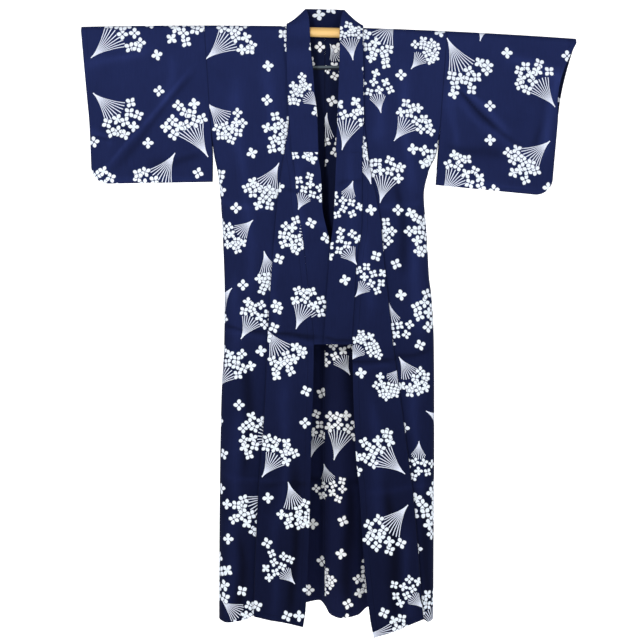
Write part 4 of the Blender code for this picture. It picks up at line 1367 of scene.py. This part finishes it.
# The dye's tone is made of patches and slubs; each has how much it counts, and the slubs' start.
PATCH_SCALE, PATCH_SHARE = 9.0, 0.9
SLUB_SCALE, SLUB_SHARE = (260.0, 26.0, 1.0), (0.7, -0.3)
# How much the tone and the weave lighten the dye, and from what share of it.
TONE_SHADE, WEAVE_SHADE = (0.34, 0.72), (0.20, 0.94)
FUZZ_SCALE = 900.0
# How much a line darkens the dye, and how high it stands in the cloth's relief, in mm.
HEM_DARK, SEAM_DARK, STITCH_DARK = -0.22, -0.45, -0.35
SEAM_RISE, DOUBLED_RISE, STITCH_RISE = -0.5, 0.16, -0.12
FUZZ_RISE, WEAVE_RISE = 0.02, 0.04
STEM_COVER = 0.93
HEART_COVER = 0.75
GREY = 0.86  # the white's darkest tone, as a share of it
BAMBOO_DARK = (0.58, 0.30, 0.066, 1.0)
BAMBOO_PALE = (0.93, 0.63, 0.235, 1.0)
BAMBOO_FIBRES = (6.0, 420.0, 420.0)
BAMBOO_PATCHES = 7.0
BAMBOO_TONE = (0.7, 0.4)  # how much its patches and its fibres count in its tone
TAPE_DARK = (0.070, 0.090, 0.105, 1.0)
TAPE_PALE = (0.120, 0.150, 0.175, 1.0)
TAPE_IN_SHADE = (0.010, 0.013, 0.022, 1.0)
TAPE_SHADE = (-0.093, -0.0905)  # heights in metres: all in shade at the first, lit at the second
TAPE_RIBS = 260.0


def cotton(name, pattern, dye):
    """Printed cotton: its navy has a painted sheen at the shoulders and painted highlight and shade on
    its creases, and its weave, hems and seams are in relief.
    """
    made, tree = new_material(name)
    cloth = add_node(tree, "ShaderNodeUVMap", uv_map="cloth")
    florets, stems, hearts = add_node(tree, "ShaderNodeGroup", node_tree=pattern).all()
    threads = {
        "Vector": cloth, "Scale": 1 / THREAD / 2 / pi, "Distortion": 0.6, "Detail": 1.0,
        "Detail Scale": 2.0,
    }
    warp, weft = [
        add_node(tree, "ShaderNodeTexWave", threads, "Fac", wave_type="BANDS", bands_direction=way)
        for way in "XY"
    ]
    weave = (warp + weft) * 0.5
    slubs = noise(cloth.vector("MULTIPLY", SLUB_SCALE), 1.0, 2.0)
    patches = noise(cloth, PATCH_SCALE, 4.0, Roughness=0.6)
    tone = patches.ramp(PATCH_SHARE, slubs.ramp(*SLUB_SHARE)).clamped()
    # painted highlight on the creases' ridges and painted shade in their troughs
    crease_lighting = stored(tree, "folds", "Fac").ramp(CREASE_SHADING, 1.0)
    crease_lighting = crease_lighting.larger(CREASE_SHADING_RANGE[0]).smaller(CREASE_SHADING_RANGE[1])

    from_hem, along_hem, from_seam = stored(tree, "edges", "Vector").parts()
    off_line = abs(from_hem - HEM_WIDTH)
    hem_line = off_line.ramp(-1 / HEM_LINE, 1.0).clamped()
    stitch = (along_hem.folded(STITCH_PITCH / 2) < STITCH_LENGTH / 2) * (off_line < STITCH_WIDTH / 2)
    seam = from_seam.ramp(-1 / SEAM_REACH, 1.0).clamped()
    seam = seam * seam
    doubled = from_hem.ramp(-1.0, HEM_WIDTH).clamped()
    lines = stitch.ramp(STITCH_DARK, hem_line.ramp(HEM_DARK, seam.ramp(SEAM_DARK, 1.0)))

    shade = tone.ramp(*TONE_SHADE) * weave.ramp(*WEAVE_SHADE) * (crease_lighting * lines)
    # painted sheen: the navy is painted lighter at the shoulders and darker further down
    down = (object_place(tree).parts()[2] * (1 / SHEEN_FADED_AT)).clamped()
    dyed = mix(down, dye.navy, dye.deep_navy).scaled(shade)
    grey = tuple(GREY * value for value in dye.white[:3]) + (1.0,)
    pale = mix(hearts * HEART_COVER, mix(tone, grey, dye.white), dye.heart)
    rise = noise(cloth, FUZZ_SCALE, 2.0).ramp(FUZZ_RISE, weave * WEAVE_RISE)
    rise = stitch.ramp(STITCH_RISE, doubled.ramp(DOUBLED_RISE, seam.ramp(SEAM_RISE, rise)))
    set_surface(
        tree, Base_Color=mix(florets, mix(stems * STEM_COVER, dyed, dye.stem_white), pale),
        Normal=bump(rise, 1.0, MM), Roughness=0.88, Specular_IOR_Level=0.05, Sheen_Weight=0.02,
        Sheen_Roughness=0.5, Sheen_Tint=(0.55, 0.62, 1.0, 1.0),
    )
    return made


def bamboo():
    made, tree = new_material("bamboo")
    where = object_place(tree)
    fibre = noise(where.vector("MULTIPLY", BAMBOO_FIBRES), 1.0, 3.0)
    tone = noise(where, BAMBOO_PATCHES, 3.0).ramp(BAMBOO_TONE[0], fibre * BAMBOO_TONE[1]).clamped()
    set_surface(
        tree, Base_Color=mix(tone, BAMBOO_DARK, BAMBOO_PALE), Normal=bump(fibre, 0.25, 0.0003),
        Roughness=0.38, Coat_Weight=0.25, Coat_Roughness=0.25,
    )
    return made


def tape_cloth():
    """Dark ribbed tape, with the collar's shade on its lower half."""
    made, tree = new_material("dark_tape")
    where = object_place(tree)
    waves = {"Vector": where, "Scale": TAPE_RIBS}
    ribs = add_node(tree, "ShaderNodeTexWave", waves, "Fac", bands_direction="X")
    heights = {"Value": where.parts()[2], "From Min": TAPE_SHADE[0], "From Max": TAPE_SHADE[1]}
    lit = add_node(tree, "ShaderNodeMapRange", heights)
    set_surface(
        tree, Base_Color=mix(lit, TAPE_IN_SHADE, mix(ribs, TAPE_DARK, TAPE_PALE)),
        Normal=bump(ribs, 0.4, 0.0003), Roughness=0.6, Specular_IOR_Level=0.08,
    )
    return made


# ---------------------------------------------------------------- the pieces


def finish_sheet(made, nodes, flat, area=None):
    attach(made, "root")
    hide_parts(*nodes)


def make_sheet(name, grid, both_sides, nodes=None, placed=None):
    """One cut piece of the printed cotton: placed holds its sprays and florets, if not by name."""
    cut = CUTS[name.removesuffix("_right").removesuffix("_left")]
    seed = cut.seed + name.endswith("left")  # so that the two halves differ
    sprays, florets = placed or placed_from_picture(name, grid)
    bare_from = FAR_AWAY
    if name.startswith("sleeve"):
        bare_from = np.abs(grid.points[..., 0]).max() - CUFF_BARE - FLORET_RADIUS
    fill_hidden(grid, sprays, florets, seed, bare_from)
    made = shell(name, grid, cut, both_sides, sprays, all_florets(sprays, florets, seed))
    finish_sheet(made, nodes or (name,), flat=cut.flat, area=cut.area)


def make_cloth():
    pattern = print_group(floret_group())
    both_sides = (
        cotton("printed_cotton", pattern, RIGHT_SIDE),
        cotton("printed_cotton_wrong_side", pattern, WRONG_SIDE),
    )
    for half in HALVES:
        grid, part = body_grid(half)
        placed = printed_body(half, grid, part)
        measure_sides(grid, part, half.sign)
        grid = grid._replace(seen=(part == 0)[:, None] | shows_inside(grid, part))
        nodes = (f"front_{half.name}", f"back_{half.name}")
        make_sheet(f"body_{half.name}", grid, both_sides, nodes, placed)
        make_sheet(f"okumi_{half.name}", okumi_grid(half), both_sides)
        make_sheet(f"sleeve_{half.name}", sleeve_grid(half), both_sides)
    make_sheet("collar", collar_grid(), both_sides)
    make_sheet("over_collar", over_collar_grid(), both_sides)


ROD_SIDES = 48
ROD_STEPS = 90
JOINT_STEPS = 19
SHARP_FROM = 50.0  # degrees between two faces that make a sharp edge
ROD_JOINTS = (-545.0, -318.0, 128.0, 415.0)
ROD_WALL = 3.6
BORE_DEPTH = 26.0
BORE_MIDDLE = 0.4  # radius of the small face that closes the bore's bottom
BORE_RIM = (0.6, 0.5)  # how deep and how wide the bore's mouth is chamfered
END_ROUND = 0.8
JOINT_REACH = 9.0
# A joint's swelling, its groove and its ridge: rise, place along the rod and half width.
JOINT_FORM = ((0.25, 0.0, JOINT_REACH), (-0.7, 1.2, 1.1), (0.25, -2.2, 1.6))
ROD_SLIM = 0.25  # how much thinner the rod is between its joints


def rod_radius(x):
    swell = -ROD_SLIM
    for joint in ROD_JOINTS:
        for rise, place, width in JOINT_FORM:
            swell += rise * np.exp(-(((x - joint - place) / width) ** 2))
    return ROD_RADIUS + swell


def rod_end(end, inwards):
    """(x, radius) of an end's rings, from the bottom of its bore to the rod's outside."""
    inner = ROD_RADIUS - ROD_WALL
    return [
        (end + inwards * BORE_DEPTH, BORE_MIDDLE), (end + inwards * BORE_DEPTH, inner),
        (end + inwards * BORE_RIM[0], inner), (end, inner + BORE_RIM[1]),
        (end, ROD_RADIUS - END_ROUND),
    ]


def make_rod():
    """The bamboo rod: a hollow pole with joint rings, bent a little by the robe's weight."""
    start, end = ROD_REACH
    ways = np.unique(np.concatenate([np.linspace(start, end, ROD_STEPS)] + [
        joint + np.linspace(-JOINT_REACH, JOINT_REACH, JOINT_STEPS) for joint in ROD_JOINTS
    ]))
    profile = rod_end(start, 1) + [(x, rod_radius(x)) for x in ways[1:-1]] + rod_end(end, -1)[::-1]
    angles = 2 * pi * np.arange(ROD_SIDES) / ROD_SIDES
    points = np.array([
        [(x, radius * cos(angle), rod_height(x) + radius * sin(angle)) for angle in angles]
        for x, radius in profile
    ])
    index = np.arange(len(profile) * ROD_SIDES).reshape(-1, ROD_SIDES)
    beside = np.roll(index, -1, axis=1)
    faces = np.stack([index[:-1], index[1:], beside[1:], beside[:-1]], -1).reshape(-1, 4).tolist()
    faces += [index[0].tolist(), index[-1, ::-1].tolist()]
    mesh = bpy.data.meshes.new("bamboo_rod")
    mesh.from_pydata((points * MM).reshape(-1, 3).tolist(), [], faces)
    mesh.update()
    mesh.materials.append(bamboo())
    mesh.shade_smooth()
    mesh.set_sharp_from_angle(angle=radians(SHARP_FROM))
    made = add_object("bamboo_rod", mesh)
    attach(made, "root")
    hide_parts("rod")


def make_tape():
    """A narrow dark woven tape across the inside of the back."""
    rows, columns = 9, 60
    points = []
    for drop in np.linspace(*TAPE_DROP, rows):
        for x in np.linspace(-TAPE_HALF, TAPE_HALF, columns):
            behind = OVER_ROD + BACK_DEPTH(drop) * BACK["depth"](x)
            points.append((MM * x, MM * (behind - CLOTH / 2 - TAPE_GAP - TAPE_WALL / 2), -MM * drop))
    mesh = bpy.data.meshes.new("neck_tape")
    mesh.from_pydata(points, [], quads_of(rows, columns).tolist())
    mesh.materials.append(tape_cloth())
    mesh.shade_smooth()
    made = add_object("neck_tape_woven", mesh)
    solid = made.modifiers.new("wall", "SOLIDIFY")
    solid.thickness = TAPE_WALL * MM
    solid.offset = 0.0
    finish_sheet(
        made, ("neck_tape",), flat=(0.124, 0.0105),
    )


# ---------------------------------------------------------------- backdrop, camera and lights

FLOOR, WALL, WALL_TOP = -1.72, 5.2, 4.0
WALL_TURN = 1.2
WALL_STEPS = 12
BACKDROP_HALF = 9.0
BACKDROP_FRONT = -7.0
BACKDROP_GLOW = 0.70
WORLD_STRENGTH = 0.29
# Place and target in metres, size in metres, and power in watts.
LIGHTS = {
    "key": ((-1.3, -3.2, 0.25), (0.0, 0.0, -0.6), 0.5, 52.0),
    "fill": ((1.7, -3.0, 0.6), (0.2, 0.0, -0.5), 0.8, 23.0),
    "back": ((2.2, 2.4, 0.9), (0.0, 0.0, -0.6), 0.6, 52.0),
}
WHITE = (1.0, 1.0, 1.0, 1.0)


def make_stage():
    """A pale floor that turns up into a backdrop."""
    profile = [(BACKDROP_FRONT, FLOOR), (WALL - WALL_TURN, FLOOR)]
    for k in range(1, WALL_STEPS + 1):
        angle = pi / 2 * k / WALL_STEPS
        profile.append((WALL - WALL_TURN * (1 - sin(angle)), FLOOR + WALL_TURN * (1 - cos(angle))))
    profile.append((WALL, WALL_TOP))
    points = [(side * BACKDROP_HALF, y, z) for y, z in profile for side in (-1, 1)]
    mesh = bpy.data.meshes.new("backdrop")
    mesh.from_pydata(points, [], [(k, k + 1, k + 3, k + 2) for k in range(0, len(points) - 2, 2)])
    mesh.update()
    mesh.shade_smooth()
    made, tree = new_material("backdrop")
    set_surface(
        tree, Base_Color=(0.95, 0.95, 0.95, 1.0), Roughness=0.9, Emission_Color=WHITE,
        Emission_Strength=BACKDROP_GLOW,
    )
    mesh.materials.append(made)
    add_object("backdrop", mesh)


def make_light(name, place, target, size, power):
    data = bpy.data.lights.new(name, "AREA")
    data.shape = "DISK"
    data.size = size
    data.energy = power
    made = add_object(name, data)
    made.location = place
    made.rotation_euler = (Vector(target) - Vector(place)).to_track_quat("-Z", "Y").to_euler()


def make_camera_and_lights():
    data = bpy.data.cameras.new("camera")
    data.angle = 2 * atan(PIXEL * PICTURE / 2 / -EYE[1])
    camera = add_object("camera", data)
    camera.location = [MM * value for value in EYE]
    camera.rotation_euler = (pi / 2, 0.0, 0.0)
    bpy.context.scene.camera = camera
    world = bpy.data.worlds.new("studio")
    world.use_nodes = True
    world.node_tree.nodes["Background"].inputs["Color"].default_value = WHITE
    world.node_tree.nodes["Background"].inputs["Strength"].default_value = WORLD_STRENGTH
    bpy.context.scene.world = world
    for name, light in LIGHTS.items():
        make_light(name, *light)
    bpy.context.scene.view_settings.view_transform = "Standard"


make_camera_and_lights()
make_stage()
make_rod()
make_cloth()
make_tape()
